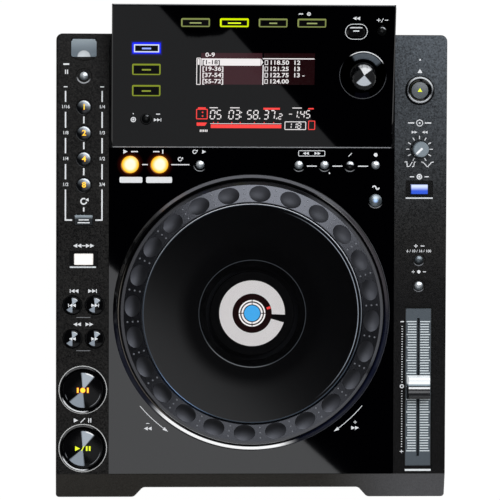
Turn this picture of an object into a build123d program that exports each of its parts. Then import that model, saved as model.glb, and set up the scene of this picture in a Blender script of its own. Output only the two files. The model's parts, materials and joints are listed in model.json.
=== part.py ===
"""Tabletop DJ disc player: a slot-loading CD deck with a large jog wheel, a raised display and a tempo fader.

Millimetres. X points to the player's right, Y to its rear and Z up. The origin is on the surface the player
stands on, at the middle of its overall width and depth. Every piece is written to parts/NAME.step.
"""

from build123d import *

import os
from dataclasses import dataclass
from math import atan2, cos, degrees, hypot, sin, sqrt

# ---- overall sizes -------------------------------------------------------------------------------------
BODY_WIDTH = 305.0
BODY_DEPTH = 362.25          # front corner blocks to the rear wall
DISPLAY_OVERHANG = 22.25     # the display's rear edge, beyond the rear wall
DECK_Z = 75.0                # the deck that the jog wheel and the keys stand on
SPLIT_Z = 42.0               # parting line of the two cabinets
FLOOR_Z = 8.0                # underside of the bottom case, and the height of the feet

# ---- walls and clearances ------------------------------------------------------------------------------
SKIN = 2.5                   # walls of the upper cabinet and the display housing
CASE_SKIN = 1.5              # steel bottom case
PANEL = 3.0                  # gloss deck panel
WINDOW = 3.0                 # display window
SEAM = 0.3                   # gap round a panel let into another
KEY_GAP = 0.3                # gap round a key in its hole
TOUCH_GAP = 0.1              # what is left under a part that has been pressed home

# ---- plan of the body ----------------------------------------------------------------------------------
FRONT_Y = -(BODY_DEPTH + DISPLAY_OVERHANG) / 2
REAR_Y = FRONT_Y + BODY_DEPTH
DISPLAY_REAR_Y = REAR_Y + DISPLAY_OVERHANG
REAR_CORNER_R = 5.0
FRONT_CORNER_R = 2.5
RECESS_HALF_WIDTH = 84.5     # disc recess in the front edge
RECESS_DEPTH = 7.85
RECESS_RAMP = 7.0
RECESS_R = 4.5
EDGE_R = 1.5                 # rounding along the deck's outer edges
STRIP_DEPTH = 19.0           # sloping front strip, seen from above
STRIP_DROP = 7.0
CASE_STEP = 1.5              # the bottom case stands back from the cabinet above
CASE_RAKE, CASE_LEAN = 8.0, 9.0
SOCKET_PANEL_INSET = 18.5      # the rear socket panel, in from the body's sides

# ---- gloss deck panel ----------------------------------------------------------------------------------
SIDE_PANEL_WIDTH = 41.2      # matt strip each side of the gloss panel
LEDGE = 5.0                  # lip of the cabinet that carries the panel
LEDGE_T = 2.5
PANEL_HALF_WIDTH = BODY_WIDTH / 2 - SIDE_PANEL_WIDTH
PANEL_FRONT_Y = FRONT_Y + STRIP_DEPTH

# ---- display wedge -------------------------------------------------------------------------------------
DISPLAY_RUN = 110.75         # plan depth of the wedge
DISPLAY_STEP = 2.0           # height of its front edge above the deck
DISPLAY_RISE = 29.5          # from its front edge to its rear edge
DISPLAY_HALF_WIDTH = PANEL_HALF_WIDTH - 1.8
DISPLAY_CORNER_R = 2.0
DISPLAY_LIP = 15.0           # height of the wedge's rear face under the window
DISPLAY_FRONT_Y = DISPLAY_REAR_Y - DISPLAY_RUN
DISPLAY_FRONT_Z = DECK_Z + DISPLAY_STEP
DISPLAY_REAR_Z = DISPLAY_FRONT_Z + DISPLAY_RISE
WINDOW_BEVEL = 0.8
WINDOW_SETBACK = 0.8         # the window's top edge, from the housing's rear face
SCREEN_WIDTH, SCREEN_DEPTH = 104.0, 72.0
SCREEN_Y = 44.0              # middle of the screen, up the slope from the front edge

# ---- jog wheel -----------------------------------------------------------------------------------------
JOG_Y = FRONT_Y + 145.25
JOG_R = 103.0
JOG_RISE = 13.0              # top of the wheel above the deck
JOG_SKIRT = 2.7
JOG_EDGE = 3.0               # rounded outer edge, outside the dimpled band
JOG_BAND_WIDTH = 13.7
JOG_BAND_OUT = JOG_R - JOG_EDGE
JOG_BAND_IN = JOG_BAND_OUT - JOG_BAND_WIDTH
JOG_BAND_FALL = 1.6          # the band falls this much towards its outer edge
JOG_BAND_T = 5.0
JOG_SIDE_GAP = 0.7           # running gap to the fixed ring
JOG_WEB_T = 2.5
JOG_BELOW = 5.0              # the wheel's underside, below the deck
DIMPLES = 24
DIMPLE_START = 3.5           # degrees, clockwise from the rear
DIMPLE_LENGTH = 16.6         # round the wheel
DIMPLE_WIDTH = 12.4          # across the band
DIMPLE_DEPTH = 1.5
DOTS_PER_GAP = 3
DOT_R = 0.75
DOT_RISE = 0.45
DOT_PITCH = 4.1
BEZEL_WIDTH = 4.5
BEZEL_RISE = 4.4
BEZEL_SPIGOT = 1.3           # wall of the ring where it stands in the deck panel
POST_R = 14.0                # fixed hollow post that the wheel turns on
POST_BORE = 9.0
BEARING_T = 3.0
BEARING_H = 3.5
HUB_WALL = 3.0
SHAFT_FIT = 0.04             # radial clearance of every shaft in its bore
POD_R = 33.0                 # centre display under the lens
PLATE_T = 2.2
PLATE_RISE = 0.4             # above the band
PLATE_GAP = 0.9
PLATE_BEVEL = 0.8
PLATE_TRAVEL = 0.4           # how far the plate gives under the hand
PLATE_RIB_R = (JOG_BAND_IN + POD_R) / 2 + 2
LENS_R = 41.0
LENS_T = 1.3
LENS_SINK = 0.2              # under the plate's top
POD_GAP = 1.2                # over the centre display when the plate is pressed
PAN_WALL = 2.5
PAN_DEPTH = 11.0             # under the deck panel

# ---- disc drive ----------------------------------------------------------------------------------------
DISC_Z = 50.0
DISC_R = 60.0
SLOT_WIDTH = 128.0
SLOT_HEIGHT = 5.4
PIN_HOLE_X, PIN_HOLE_R = 74.0, 0.8       # forced-eject hole beside the slot
DRIVE_HALF_WIDTH = 72.0
DRIVE_FRONT_GAP = 4.0        # behind the slotted wall
DRIVE_BELOW, DRIVE_ABOVE = 14.0, 10.0
DISC_T = 1.2
ROLLER_R, ROLLER_WAIST, ROLLER_LENGTH = 4.2, 0.8, 116.0
ROLLER_BACK = 10.0           # behind the drive's front edge
DRIVE_SHEET = 1.5
SPINDLE_R = 7.4
CONE_RISE = 3.0              # centring cone above the disc's seat
TURNTABLE_R = 15.0
MOTOR_R, SHAFT_R = 12.0, 1.5
RAIL_R = 1.5
RAIL_HALF_GAUGE = 20.0
BRACKET_T = 3.0
PICKUP_WINDOW = (60.0, 34.0)     # opening in the drive's floor
CLAMP_HOLE_R = 22.0              # opening in its cover, over the spindle
SLED_LENGTH, SLED_HEIGHT = 26.0, 6.0
SLED_TRAVEL = 36.0

# ---- keys ----------------------------------------------------------------------------------------------
COLUMN_INSET = SIDE_PANEL_WIDTH / 2 + 0.9    # key columns, from the body's sides
FLANGE = 1.0                 # collar that keeps a key in its hole
FLANGE_T = 1.0
PLUNGER_R = 1.6
PLUNGER_END = 8.0            # plunger tips, below the panel's face
BOARD_DEPTH = 12.0           # key boards, below the panel's face
BOARD_T = 1.6
KEY_BOARD_INSET = 5.0        # key boards, from the edges of their panels
BOSS_R = 2.5
DISH_DEPTH = 0.9             # dished recess round a small key
KEY_BEVEL = 0.4

LEFT_X = -BODY_WIDTH / 2 + COLUMN_INSET
RIGHT_X = BODY_WIDTH / 2 - COLUMN_INSET


@dataclass
class Key:
    """A push key: round when it has a radius, otherwise width by depth."""
    name: str
    x: float
    y: float
    radius: float = 0.0
    width: float = 0.0
    depth: float = 0.0
    rise: float = 1.6
    crown: float = 0.6       # how much the top of a round key is domed
    dish: float = 0.0        # how far its dished recess reaches past the key
    frame: tuple = ()        # width and depth of the sunk frame round it
    corner: float = 0.8      # corners of a rectangular key
    travel: float = 0.5


BEAT_PITCH = 20.17
BEAT_Y = REAR_Y - 57.2
PAIR_HALF_PITCH = 8.7

cabinet_keys = [
    Key("stop_key", LEFT_X, REAR_Y - 33.0, radius=3.1, dish=2.9),
    *[
        Key(f"beat_{beats}_key", LEFT_X, BEAT_Y - i * BEAT_PITCH, radius=5.3, rise=2.2, crown=0.8, dish=0.7)
        for i, beats in enumerate((1, 2, 4, 8))
    ],
    Key("beat_select_key", LEFT_X, REAR_Y - 145.0, width=13.6, depth=7.8, rise=2.0),
    Key("reverse_key", LEFT_X, FRONT_Y + 186.75, width=14.8, depth=8.9, rise=2.0, frame=(22.3, 12.9)),
    Key("track_back_key", LEFT_X - PAIR_HALF_PITCH, FRONT_Y + 150.85, radius=6.6, rise=2.4, dish=0.9),
    Key("track_forward_key", LEFT_X + PAIR_HALF_PITCH, FRONT_Y + 150.85, radius=6.6, rise=2.4, dish=0.9),
    Key("search_back_key", LEFT_X - PAIR_HALF_PITCH, FRONT_Y + 124.75, radius=6.6, rise=2.4, dish=0.9),
    Key("search_forward_key", LEFT_X + PAIR_HALF_PITCH, FRONT_Y + 124.75, radius=6.6, rise=2.4, dish=0.9),
    Key("cue_key", LEFT_X - 0.5, FRONT_Y + 84.75, radius=15.3, rise=4.2, crown=0.5, travel=1.0),
    Key("play_key", LEFT_X - 0.5, FRONT_Y + 39.25, radius=15.3, rise=4.2, crown=0.5, travel=1.0),
    Key("eject_key", RIGHT_X, REAR_Y - 43.2, radius=6.5, rise=1.4, travel=0.8),
    Key("jog_mode_key", RIGHT_X, REAR_Y - 120.4, width=13.2, depth=7.6, rise=2.0, frame=(21.5, 13.6)),
    Key("tempo_range_key", RIGHT_X, FRONT_Y + 186.55, radius=3.2, dish=1.6),
    Key("master_tempo_key", RIGHT_X, FRONT_Y + 166.25, radius=3.2, dish=1.6),
]

DECK_ROW_Y = DISPLAY_FRONT_Y - 13.2
LOOP_X = 16.4 - PANEL_HALF_WIDTH
CALL_PITCH = 20.0
CALL_X = PANEL_HALF_WIDTH - 14.6 - 3 * CALL_PITCH
deck_keys = [
    Key("loop_in_key", LOOP_X, DECK_ROW_Y, radius=6.6, rise=2.6, crown=0.8, dish=0.8),
    Key("loop_out_key", LOOP_X + 22.9, DECK_ROW_Y, radius=6.6, rise=2.6, crown=0.8, dish=0.8),
    Key("reloop_key", LOOP_X + 54.4, DECK_ROW_Y, radius=3.1, dish=2.2),
    Key("call_back_key", CALL_X, DECK_ROW_Y, radius=3.1, dish=2.2),
    Key("call_forward_key", CALL_X + CALL_PITCH, DECK_ROW_Y, radius=3.1, dish=2.2),
    Key("delete_key", CALL_X + 2 * CALL_PITCH, DECK_ROW_Y, radius=3.1, dish=2.2),
    Key("memory_key", CALL_X + 3 * CALL_PITCH, DECK_ROW_Y, radius=3.1, dish=2.2),
    Key("slip_key", CALL_X + 3 * CALL_PITCH, DECK_ROW_Y - 27.5, radius=4.8, rise=2.0, dish=1.4),
]

BROWSE_PITCH = 29.9
BROWSE_Y = 100.0             # up the slope from the display's front edge
SOURCE_X = 26.7 - DISPLAY_HALF_WIDTH
SOURCE_PITCH = 16.9
display_keys = [
    *[
        Key(f"{name}_key", (i - 1.5) * BROWSE_PITCH - 0.4, BROWSE_Y, width=21.6, depth=6.4, rise=1.2)
        for i, name in enumerate(("browse", "tag_list", "info", "menu"))
    ],
    *[
        Key(f"source_{name}_key", SOURCE_X, 79.6 - i * SOURCE_PITCH, width=21.4, depth=8.4, rise=1.2)
        for i, name in enumerate(("link", "usb", "disc"))
    ],
    Key("time_mode_key", SOURCE_X, 22.9, radius=3.2, dish=1.0),
    Key("back_key", DISPLAY_HALF_WIDTH - 30.8, 93.4, width=13.4, depth=7.6, rise=1.6, corner=3.7),
    Key("tag_key", DISPLAY_HALF_WIDTH - 10.6, 93.8, radius=3.3, dish=1.0),
]

# ---- knobs, fader, cover and connectors ----------------------------------------------------------------
SELECTOR_X = DISPLAY_HALF_WIDTH - 24.5
SELECTOR_Y = 58.8                        # up the slope from the display's front edge
SELECTOR_R, SELECTOR_RISE = 9.6, 12.4
SELECTOR_FLUTES = 14
SELECTOR_SHAFT_R, SELECTOR_SHAFT_END = 3.0, 9.0
SELECTOR_SOCKET = 6.0                    # top of the shaft, inside the knob
SELECTOR_GAP = 0.7                       # under the knob, more than it travels
WELL_R, WELL_FLOOR_R, WELL_DEPTH = 18.4, 12.0, 2.2
SPEED_Y = REAR_Y - 89.1
SPEED_R, SPEED_RISE, SPEED_RIBS = 6.8, 14.0, 18
FADER_Y = FRONT_Y + 86.75
FADER_WIDTH, FADER_LENGTH = 20.5, 123.4
FADER_TRAVEL = 100.0
FADER_SLOT = 2.0
FADER_SINK = 0.8             # the scale plate, below the deck
CAP_WIDTH, CAP_LENGTH, CAP_RISE = 18.0, 18.5, 12.0
STEM_T, STEM_LENGTH = 1.2, 6.0
COVER_WIDTH, COVER_DEPTH, COVER_T, COVER_CORNER_R = 19.6, 14.2, 1.8, 1.2
COVER_Y = REAR_Y - 11.0
COVER_PIN_R = 0.8
THUMB_REACH, THUMB_DEPTH = 3.3, 1.4      # crescent recess in front of the cover
SCOOP_R, SCOOP_DEPTH = 5.2, 1.0          # finger scoop in the cover's free edge
USB_WIDTH, USB_DEPTH = 13.4, 5.8         # outside of the connector's shell
WELL_FLOOR, PORT_TOP, PORT_BASE = 7.0, 6.5, 20.0  # below the deck
FOOT_R, FOOT_SIDE, FOOT_FRONT, FOOT_REAR = 18.0, 40.5, 48.0, 40.0     # insets from the body's edges
SOCKET_Z = 25.0


# ---- working frames and small tools --------------------------------------------------------------------
SLOPE = atan2(DISPLAY_RISE, DISPLAY_RUN - WINDOW_SETBACK)
SLOPE_LENGTH = hypot(DISPLAY_RISE, DISPLAY_RUN - WINDOW_SETBACK)
DECK = Plane.XY.offset(DECK_Z)
SLOPED = Plane(
    origin=(0, DISPLAY_FRONT_Y, DISPLAY_FRONT_Z), x_dir=(1, 0, 0), z_dir=(0, -sin(SLOPE), cos(SLOPE))
)


def prism(face, low, high):
    """A flat face on XY, extruded from one height to another."""
    return Pos(0, 0, low) * extrude(face, high - low)


def slab(width, depth, low, high, x=0.0, y=0.0, corner=0.0):
    """A plate between two heights, with rounded corners where asked."""
    face = RectangleRounded(width, depth, corner) if corner else Rectangle(width, depth)
    return Pos(x, y, 0) * prism(face, low, high)


def rod(radius, low, high, x=0.0, y=0.0):
    """A round bar between two heights."""
    return Pos(x, y, 0) * prism(Circle(radius), low, high)


def turned(points):
    """A solid turned from a closed (radius, height) outline."""
    return revolve(Plane.XZ * make_face(Polyline(*points, close=True)), Axis.Z)


def across(points, half_width):
    """A closed (y, z) outline, run across the body from side to side."""
    return extrude(Plane.YZ * make_face(Polyline(*points, close=True)), half_width, both=True)


def crown_height(radius, crown, share):
    """Height lost, at a share of the radius, by a dome that falls by crown at its edge."""
    ball = (radius**2 + crown**2) / (2 * crown)
    return ball - sqrt(ball**2 - (share * radius) ** 2)


# ---- cabinets ------------------------------------------------------------------------------------------
def plan_outline(inset):
    """The body's plan: a rectangle with a disc recess in its front edge."""
    half = BODY_WIDTH / 2
    back = FRONT_Y + RECESS_DEPTH
    inner, outer = RECESS_HALF_WIDTH, RECESS_HALF_WIDTH + RECESS_RAMP
    points = [
        (-half, REAR_Y), (-half, FRONT_Y), (-outer, FRONT_Y), (-inner, back),
        (inner, back), (outer, FRONT_Y), (half, FRONT_Y), (half, REAR_Y),
    ]
    face = make_face(Polyline(*points, close=True))
    corners = face.vertices()
    face = fillet([v for v in corners if v.Y > REAR_Y - 1], REAR_CORNER_R)
    corners = face.vertices()
    face = fillet([v for v in corners if abs(v.X) > half - 1 and v.Y < FRONT_Y + 1], FRONT_CORNER_R)
    corners = face.vertices()
    face = fillet([v for v in corners if abs(v.X) < outer + 1 and v.Y < back + 1], RECESS_R)
    return offset(face, -inset, kind=Kind.INTERSECTION) if inset else face


def beyond(plane, inset):
    """Everything beyond a plane that is moved inwards by an inset, as a cutter."""
    return plane.offset(-inset).location * Pos(0, 0, 200) * Box(900, 900, 400)


STRIP_PLANE = Plane(origin=(0, PANEL_FRONT_Y, DECK_Z), x_dir=(1, 0, 0), z_dir=(0, -STRIP_DROP, STRIP_DEPTH))


def upper_block(inset):
    """The upper cabinet's outer form, or its hollow where it is inset by a wall."""
    low = SPLIT_Z - 2 * SKIN if inset else SPLIT_Z
    block = prism(plan_outline(inset), low, DECK_Z - inset) - beyond(STRIP_PLANE, inset)
    if inset:
        return block
    top = block.faces().sort_by(Axis.Z)[-1]
    strip = block.faces().filter_by(lambda face: face.normal_at().Y < -0.1 and face.normal_at().Z > 0.5)[0]
    rim = [edge for edge in top.edges() + strip.edges() if abs(edge.center().Y - PANEL_FRONT_Y) > 0.01]
    return fillet(rim, EDGE_R)


def panel_opening(grow):
    """The cabinet's opening, from the front strip to the rear wall."""
    depth = REAR_Y - 2 * SKIN - PANEL_FRONT_Y
    middle = PANEL_FRONT_Y + depth / 2
    return Pos(0, middle) * Rectangle(2 * (PANEL_HALF_WIDTH + grow), depth + 2 * grow)


def upper_cabinet():
    """Matt upper cabinet: side panels, front strip, walls and the ledge that carries the deck panel."""
    ledge_top = DECK_Z - PANEL
    frame = upper_block(0) - upper_block(SKIN)
    ledge = prism(panel_opening(SKIN), ledge_top - LEDGE_T, ledge_top) & upper_block(SKIN / 2)
    ledge -= prism(panel_opening(-LEDGE), 0, DECK_Z)
    crossbar = slab(
        2 * PANEL_HALF_WIDTH + SKIN, 2 * LEDGE, ledge_top - LEDGE_T, ledge_top, y=DISPLAY_FRONT_Y
    )
    frame = frame - prism(panel_opening(SEAM), ledge_top, DECK_Z + 1)
    frame += ledge + crossbar
    frame -= prism(panel_opening(-LEDGE), SPLIT_Z, ledge_top - LEDGE_T)
    frame -= rod(JOG_R + JOG_SIDE_GAP + BEZEL_WIDTH + PAN_WALL, SPLIT_Z, ledge_top, y=JOG_Y)
    slot = Pos(0, FRONT_Y, DISC_Z) * Box(SLOT_WIDTH, 4 * RECESS_DEPTH, SLOT_HEIGHT)
    mouth = Pos(0, FRONT_Y + RECESS_DEPTH, DISC_Z) * Box(SLOT_WIDTH + 4, SKIN, SLOT_HEIGHT + 3)
    frame -= slot + chamfer(mouth.edges().filter_by(Axis.X), SKIN / 2 - 0.05)
    pin_hole = Rot(-90, 0, 0) * rod(PIN_HOLE_R, FRONT_Y, FRONT_Y + RECESS_DEPTH + 2 * SKIN)
    frame -= Pos(PIN_HOLE_X, 0, DISC_Z) * pin_hole
    for key in cabinet_keys:
        frame -= key_hole(key, SKIN, DECK)
    for x, y, outer, _, _ in ring_places():
        frame -= rod(outer + SEAM, DECK_Z - RING_SINK, DECK_Z + 1, x, y)
    low, high, play = DECK_Z - 2 * SKIN, DECK_Z + 1, 2 * SEAM
    frame -= rod(SPEED_R + SEAM, low, high, RIGHT_X, SPEED_Y)
    frame -= slab(FADER_WIDTH + play, FADER_LENGTH + play, low, high, RIGHT_X, FADER_Y)
    frame -= slab(COVER_WIDTH + play, COVER_DEPTH + play, low, high, LEFT_X, COVER_Y, COVER_CORNER_R + SEAM)
    frame += usb_well()
    frame -= thumb_recess()
    for x, y in cabinet_bosses():
        frame += rod(BOSS_R, DECK_Z - BOARD_DEPTH, DECK_Z - SKIN + 0.5, x, y)
    return frame


def lower_block(inset):
    """The bottom case's outer form, or its hollow: a raked front and sides that lean in towards the floor."""
    low = FLOOR_Z + inset
    block = prism(plan_outline(CASE_STEP + inset), low, SPLIT_Z + 2 * SKIN if inset else SPLIT_Z)
    fall = SPLIT_Z - FLOOR_Z
    front = Plane(origin=(0, FRONT_Y + CASE_STEP, SPLIT_Z), x_dir=(1, 0, 0), z_dir=(0, -fall, -CASE_RAKE))
    block -= beyond(front, inset)
    for side in (-1, 1):
        edge = side * (BODY_WIDTH / 2 - CASE_STEP)
        flank = Plane(origin=(edge, 0, SPLIT_Z), x_dir=(0, 1, 0), z_dir=(side * fall, 0, -CASE_LEAN))
        block -= beyond(flank, inset)
    return block


def bottom_case():
    """Bottom case: floor, raked walls, board posts and cooling slots, and the flat socket panel behind."""
    floor_top = FLOOR_Z + CASE_SKIN
    width = BODY_WIDTH - 2 * SOCKET_PANEL_INSET
    panel = slab(width, CASE_SKIN, floor_top, SPLIT_Z, y=REAR_FACE - CASE_SKIN / 2)
    case = lower_block(0) - lower_block(CASE_SKIN) - panel
    for cut in socket_cuts():
        panel -= cut
    for x, y in board_posts():
        case += rod(3.5, floor_top - 0.5, BOARD_Z, x, y)
    for x, y in drive_posts():
        case += rod(4.0, floor_top - 0.5, DISC_Z - DRIVE_BELOW, x, y)
    for column in (-1, 1):
        for i in range(7):
            case -= slab(34, 2.4, 0, floor_top + 1, column * 45, REAR_Y - 60 - i * 8, 1.19)
    return Compound(children=[case, panel])


def rubber_feet():
    """Four turned rubber feet, each with a screw recess in its sole."""
    foot = turned([
        (0, FLOOR_Z), (FOOT_R - 1.5, FLOOR_Z), (FOOT_R, FLOOR_Z - 2.5), (FOOT_R - 1, 1.0), (FOOT_R - 2, 0),
        (6.0, 0), (5.0, 4.0), (0, 4.0),
    ])
    return Compound(children=[Pos(x, y, 0) * foot for x, y in foot_places()])


def foot_places():
    reach = BODY_WIDTH / 2 - FOOT_SIDE
    return [(x, y) for x in (-reach, reach) for y in (FRONT_Y + FOOT_FRONT, REAR_Y - FOOT_REAR)]


# ---- keys ----------------------------------------------------------------------------------------------
def key_hole(key, thickness, plane):
    """The hole for a key and its dished recess, as a cutter in the panel's frame."""
    depth = thickness + 1
    if key.radius:
        cutter = rod(key.radius + KEY_GAP, -depth, 1)
        if key.dish:
            rim = key.radius + KEY_GAP + key.dish
            floor_r = rim - DISH_DEPTH / 2
            cutter += turned([(0, -DISH_DEPTH), (floor_r, -DISH_DEPTH), (rim, 0), (rim, 1), (0, 1)])
    else:
        width, length = key.width + 2 * KEY_GAP, key.depth + 2 * KEY_GAP
        cutter = slab(width, length, -depth, 1, corner=key.corner + KEY_GAP)
        if key.frame:
            cutter += slab(*key.frame, -DISH_DEPTH, 1, corner=1.8)
    return plane.location * Pos(key.x, key.y, 0) * cutter


def push_key(key, thickness, plane):
    """A key with its domed or flat cap, retaining flange and plunger."""
    seat = -thickness - KEY_GAP
    base = seat - FLANGE_T
    if key.radius:
        edge = key.rise - key.crown
        middle = key.rise - crown_height(key.radius, key.crown, 0.5)
        outline = [
            Polyline(
                (0, -PLUNGER_END), (PLUNGER_R, -PLUNGER_END), (PLUNGER_R, base), (key.radius + FLANGE, base),
                (key.radius + FLANGE, seat), (key.radius, seat), (key.radius, edge),
            ),
            ThreePointArc((key.radius, edge), (key.radius / 2, middle), (0, key.rise)),
            Line((0, key.rise), (0, -PLUNGER_END)),
        ]
        body = revolve(Plane.XZ * make_face(outline), Axis.Z)
    else:
        cap = slab(key.width, key.depth, seat, key.rise, corner=key.corner)
        cap = chamfer(cap.faces().sort_by(Axis.Z)[-1].edges(), KEY_BEVEL)
        body = cap + slab(key.width + 2 * FLANGE, key.depth + 2 * FLANGE, base, seat)
        body += rod(PLUNGER_R, -PLUNGER_END, base)
    return plane.location * Pos(key.x, key.y, 0) * body


RING_SINK = 1.0


def ring_places():
    """The rings let in round the two large keys and the eject key: x, y, outer and inner radius, and rise."""
    by_name = {key.name: key for key in cabinet_keys}
    sizes = (("cue_key", 3.3, 1.4), ("play_key", 3.3, 1.4), ("eject_key", 4.5, 2.2))
    places = []
    for name, wall, rise in sizes:
        key = by_name[name]
        inner = key.radius + KEY_GAP
        places.append((key.x, key.y, inner + wall, inner, rise))
    return places


def trim_rings():
    """The fixed ring round the jog wheel and the three round the large keys, all rounded on top."""
    rings = []
    for x, y, outer, inner, rise in ring_places():
        wall = outer - inner
        ring = turned([
            (inner, -RING_SINK), (outer, -RING_SINK), (outer, 0.3), (outer - 0.3 * wall, rise),
            (inner + 0.35 * wall, rise * 0.9), (inner, rise * 0.25),
        ])
        rings.append(DECK.location * Pos(x, y, 0) * ring)
    return Compound(children=[jog_bezel(), *rings])


# ---- deck panel and display ----------------------------------------------------------------------------
def deck_panel():
    """Gloss panel let into the upper cabinet, with the jog wheel's hole and eight key holes."""
    front = PANEL_FRONT_Y
    rear = DISPLAY_FRONT_Y - SEAM
    panel = slab(2 * PANEL_HALF_WIDTH, rear - front, DECK_Z - PANEL, DECK_Z, y=(front + rear) / 2)
    panel -= rod(JOG_R + JOG_SIDE_GAP + BEZEL_SPIGOT + SEAM, 0, DECK_Z + 1, y=JOG_Y)
    for key in deck_keys:
        panel -= key_hole(key, PANEL, DECK)
    for x, y in deck_bosses():
        panel += rod(BOSS_R, DECK_Z - BOARD_DEPTH, DECK_Z - PANEL + 0.5, x, y)
    return panel


def display_housing():
    """Wedge-shaped shell under the window, open above and below, that overhangs the rear wall."""
    front, rear = DISPLAY_FRONT_Y, DISPLAY_REAR_Y
    low, heel, step = DECK_Z - PANEL, DECK_Z + SEAM, REAR_Y - 2 * SKIN
    front_top = DISPLAY_FRONT_Z - WINDOW / cos(SLOPE)
    rear_top = front_top + DISPLAY_RUN * sin(SLOPE) / cos(SLOPE)
    lip = rear_top - DISPLAY_LIP
    outer = [
        (front, low), (front, front_top), (rear, rear_top), (rear, lip),
        (REAR_Y + SEAM, heel), (step, heel), (step, low),
    ]
    inner = [
        (front + SKIN, low - 1), (front + SKIN, DISPLAY_REAR_Z), (rear - SKIN, DISPLAY_REAR_Z),
        (rear - SKIN, lip + SKIN), (REAR_Y + SEAM - SKIN, heel + SKIN),
        (step - SKIN, heel + SKIN), (step - SKIN, low - 1),
    ]
    shell = across(outer, DISPLAY_HALF_WIDTH)
    flange_width = PANEL_HALF_WIDTH - DISPLAY_HALF_WIDTH
    for side in (-1, 1):
        middle = side * (PANEL_HALF_WIDTH + DISPLAY_HALF_WIDTH) / 2
        shell += slab(flange_width, step - front, low, DECK_Z, middle, (step + front) / 2)
    shell -= across(inner, DISPLAY_HALF_WIDTH - SKIN)
    for x, y in display_posts():
        shell += SLOPED.location * slab(7, 7, -BOARD_DEPTH - BOARD_T - 3, -BOARD_DEPTH - BOARD_T, x, y)
    return shell


def display_posts():
    """Ledges on the housing's side walls, under the display's key board."""
    side = DISPLAY_HALF_WIDTH - SKIN - 3
    return [(x, y) for x in (-side, side) for y in (SLOPE_LENGTH * 0.45, SLOPE_LENGTH * 0.8)]


def display_window():
    """Gloss window over the whole wedge, with key holes and the selector's well."""
    width, middle = 2 * DISPLAY_HALF_WIDTH, SLOPE_LENGTH / 2
    window = slab(width, SLOPE_LENGTH, -WINDOW, 0, y=middle, corner=DISPLAY_CORNER_R)
    window = chamfer(window.faces().sort_by(Axis.Z)[-1].edges(), WINDOW_BEVEL)
    window -= Pos(SELECTOR_X, SELECTOR_Y, 0) * turned([
        (0, -WELL_DEPTH), (WELL_FLOOR_R, -WELL_DEPTH), (WELL_R, 0), (WELL_R, 1), (0, 1),
    ])
    window -= rod(SELECTOR_SHAFT_R + SEAM, -WINDOW - 1, 1, SELECTOR_X, SELECTOR_Y)
    window = SLOPED.location * window
    for key in display_keys:
        window -= key_hole(key, WINDOW, SLOPED)
    return window


def display_module():
    """Screen module between the window and the display's key board."""
    module = slab(SCREEN_WIDTH, SCREEN_DEPTH, -BOARD_DEPTH, -WINDOW, y=SCREEN_Y, corner=1.0)
    module += slab(SCREEN_WIDTH + 8, SCREEN_DEPTH + 4, -BOARD_DEPTH, -BOARD_DEPTH / 2, y=SCREEN_Y)
    return SLOPED.location * module


# ---- jog wheel -----------------------------------------------------------------------------------------
JOG_TOP = DECK_Z + JOG_RISE
PLATE_TOP = JOG_TOP + PLATE_RISE
LENS_SEAT = PLATE_TOP - LENS_T - LENS_SINK
JOG_BASE = DECK_Z - JOG_BELOW
WEB_TOP = JOG_BASE + JOG_WEB_T
HUB_BORE = POST_R + BEARING_T + SHAFT_FIT
HUB_LOW, HUB_HIGH = JOG_BASE - 4.0, JOG_BASE + 6.0


def at_jog(part):
    return Pos(0, JOG_Y, 0) * part


def dimple_cutter():
    """A barrel lying along a radius of the wheel: it scoops a hollow longer round the wheel than across."""
    half_length, half_width = DIMPLE_LENGTH / 2, DIMPLE_WIDTH / 2
    round_r = (half_length**2 + DIMPLE_DEPTH**2) / (2 * DIMPLE_DEPTH)
    across_r = (half_width**2 + DIMPLE_DEPTH**2) / (2 * DIMPLE_DEPTH)
    reach = half_width + 1.0
    edge = round_r - across_r + sqrt(across_r**2 - reach**2)
    barrel = make_face([
        Line((-reach, 0), (-reach, edge)),
        ThreePointArc((-reach, edge), (0, round_r), (reach, edge)),
        Polyline((reach, edge), (reach, 0), (-reach, 0)),
    ])
    return Pos(0, 0, round_r - DIMPLE_DEPTH) * revolve(barrel, Axis.X)


def jog_ring():
    """Turning wheel: skirt, dimpled band, web and hub."""
    low_edge = JOG_TOP - JOG_BAND_FALL
    hub, skirt = HUB_BORE + HUB_WALL, JOG_R - JOG_SKIRT
    under = JOG_TOP - JOG_BAND_T
    wheel = turned([
        (HUB_BORE, HUB_LOW), (hub, HUB_LOW), (hub, JOG_BASE), (JOG_R, JOG_BASE),
        (JOG_R, low_edge - 4.5), (JOG_R - 0.8, low_edge - 2.0), (JOG_BAND_OUT, low_edge),
        (JOG_BAND_IN + 0.6, JOG_TOP), (JOG_BAND_IN, JOG_TOP - 0.6), (JOG_BAND_IN, under),
        (skirt - 2, under), (skirt, under - 2), (skirt, WEB_TOP), (hub, WEB_TOP), (hub, HUB_HIGH),
        (HUB_BORE, HUB_HIGH),
    ])
    band = Pos((JOG_BAND_IN + JOG_BAND_OUT) / 2, 0, JOG_TOP - JOG_BAND_FALL / 2)
    band *= Rot(0, degrees(atan2(JOG_BAND_FALL, JOG_BAND_OUT - JOG_BAND_IN)), 0)
    scoop = band * dimple_cutter()
    dot = turned([(0, -0.5), (DOT_R, -0.5), (DOT_R, 0), (DOT_R * 0.6, DOT_RISE), (0, DOT_RISE)])
    dots = [band * Pos((j - (DOTS_PER_GAP - 1) / 2) * DOT_PITCH, 0, 0) * dot for j in range(DOTS_PER_GAP)]
    step = 360 / DIMPLES
    turns = [Rot(0, 0, 90 - DIMPLE_START - i * step) for i in range(DIMPLES)]
    wheel -= [turn * scoop for turn in turns]
    wheel += [turn * Rot(0, 0, -step / 2) * piece for turn in turns for piece in dots]
    return at_jog(wheel)


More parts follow.
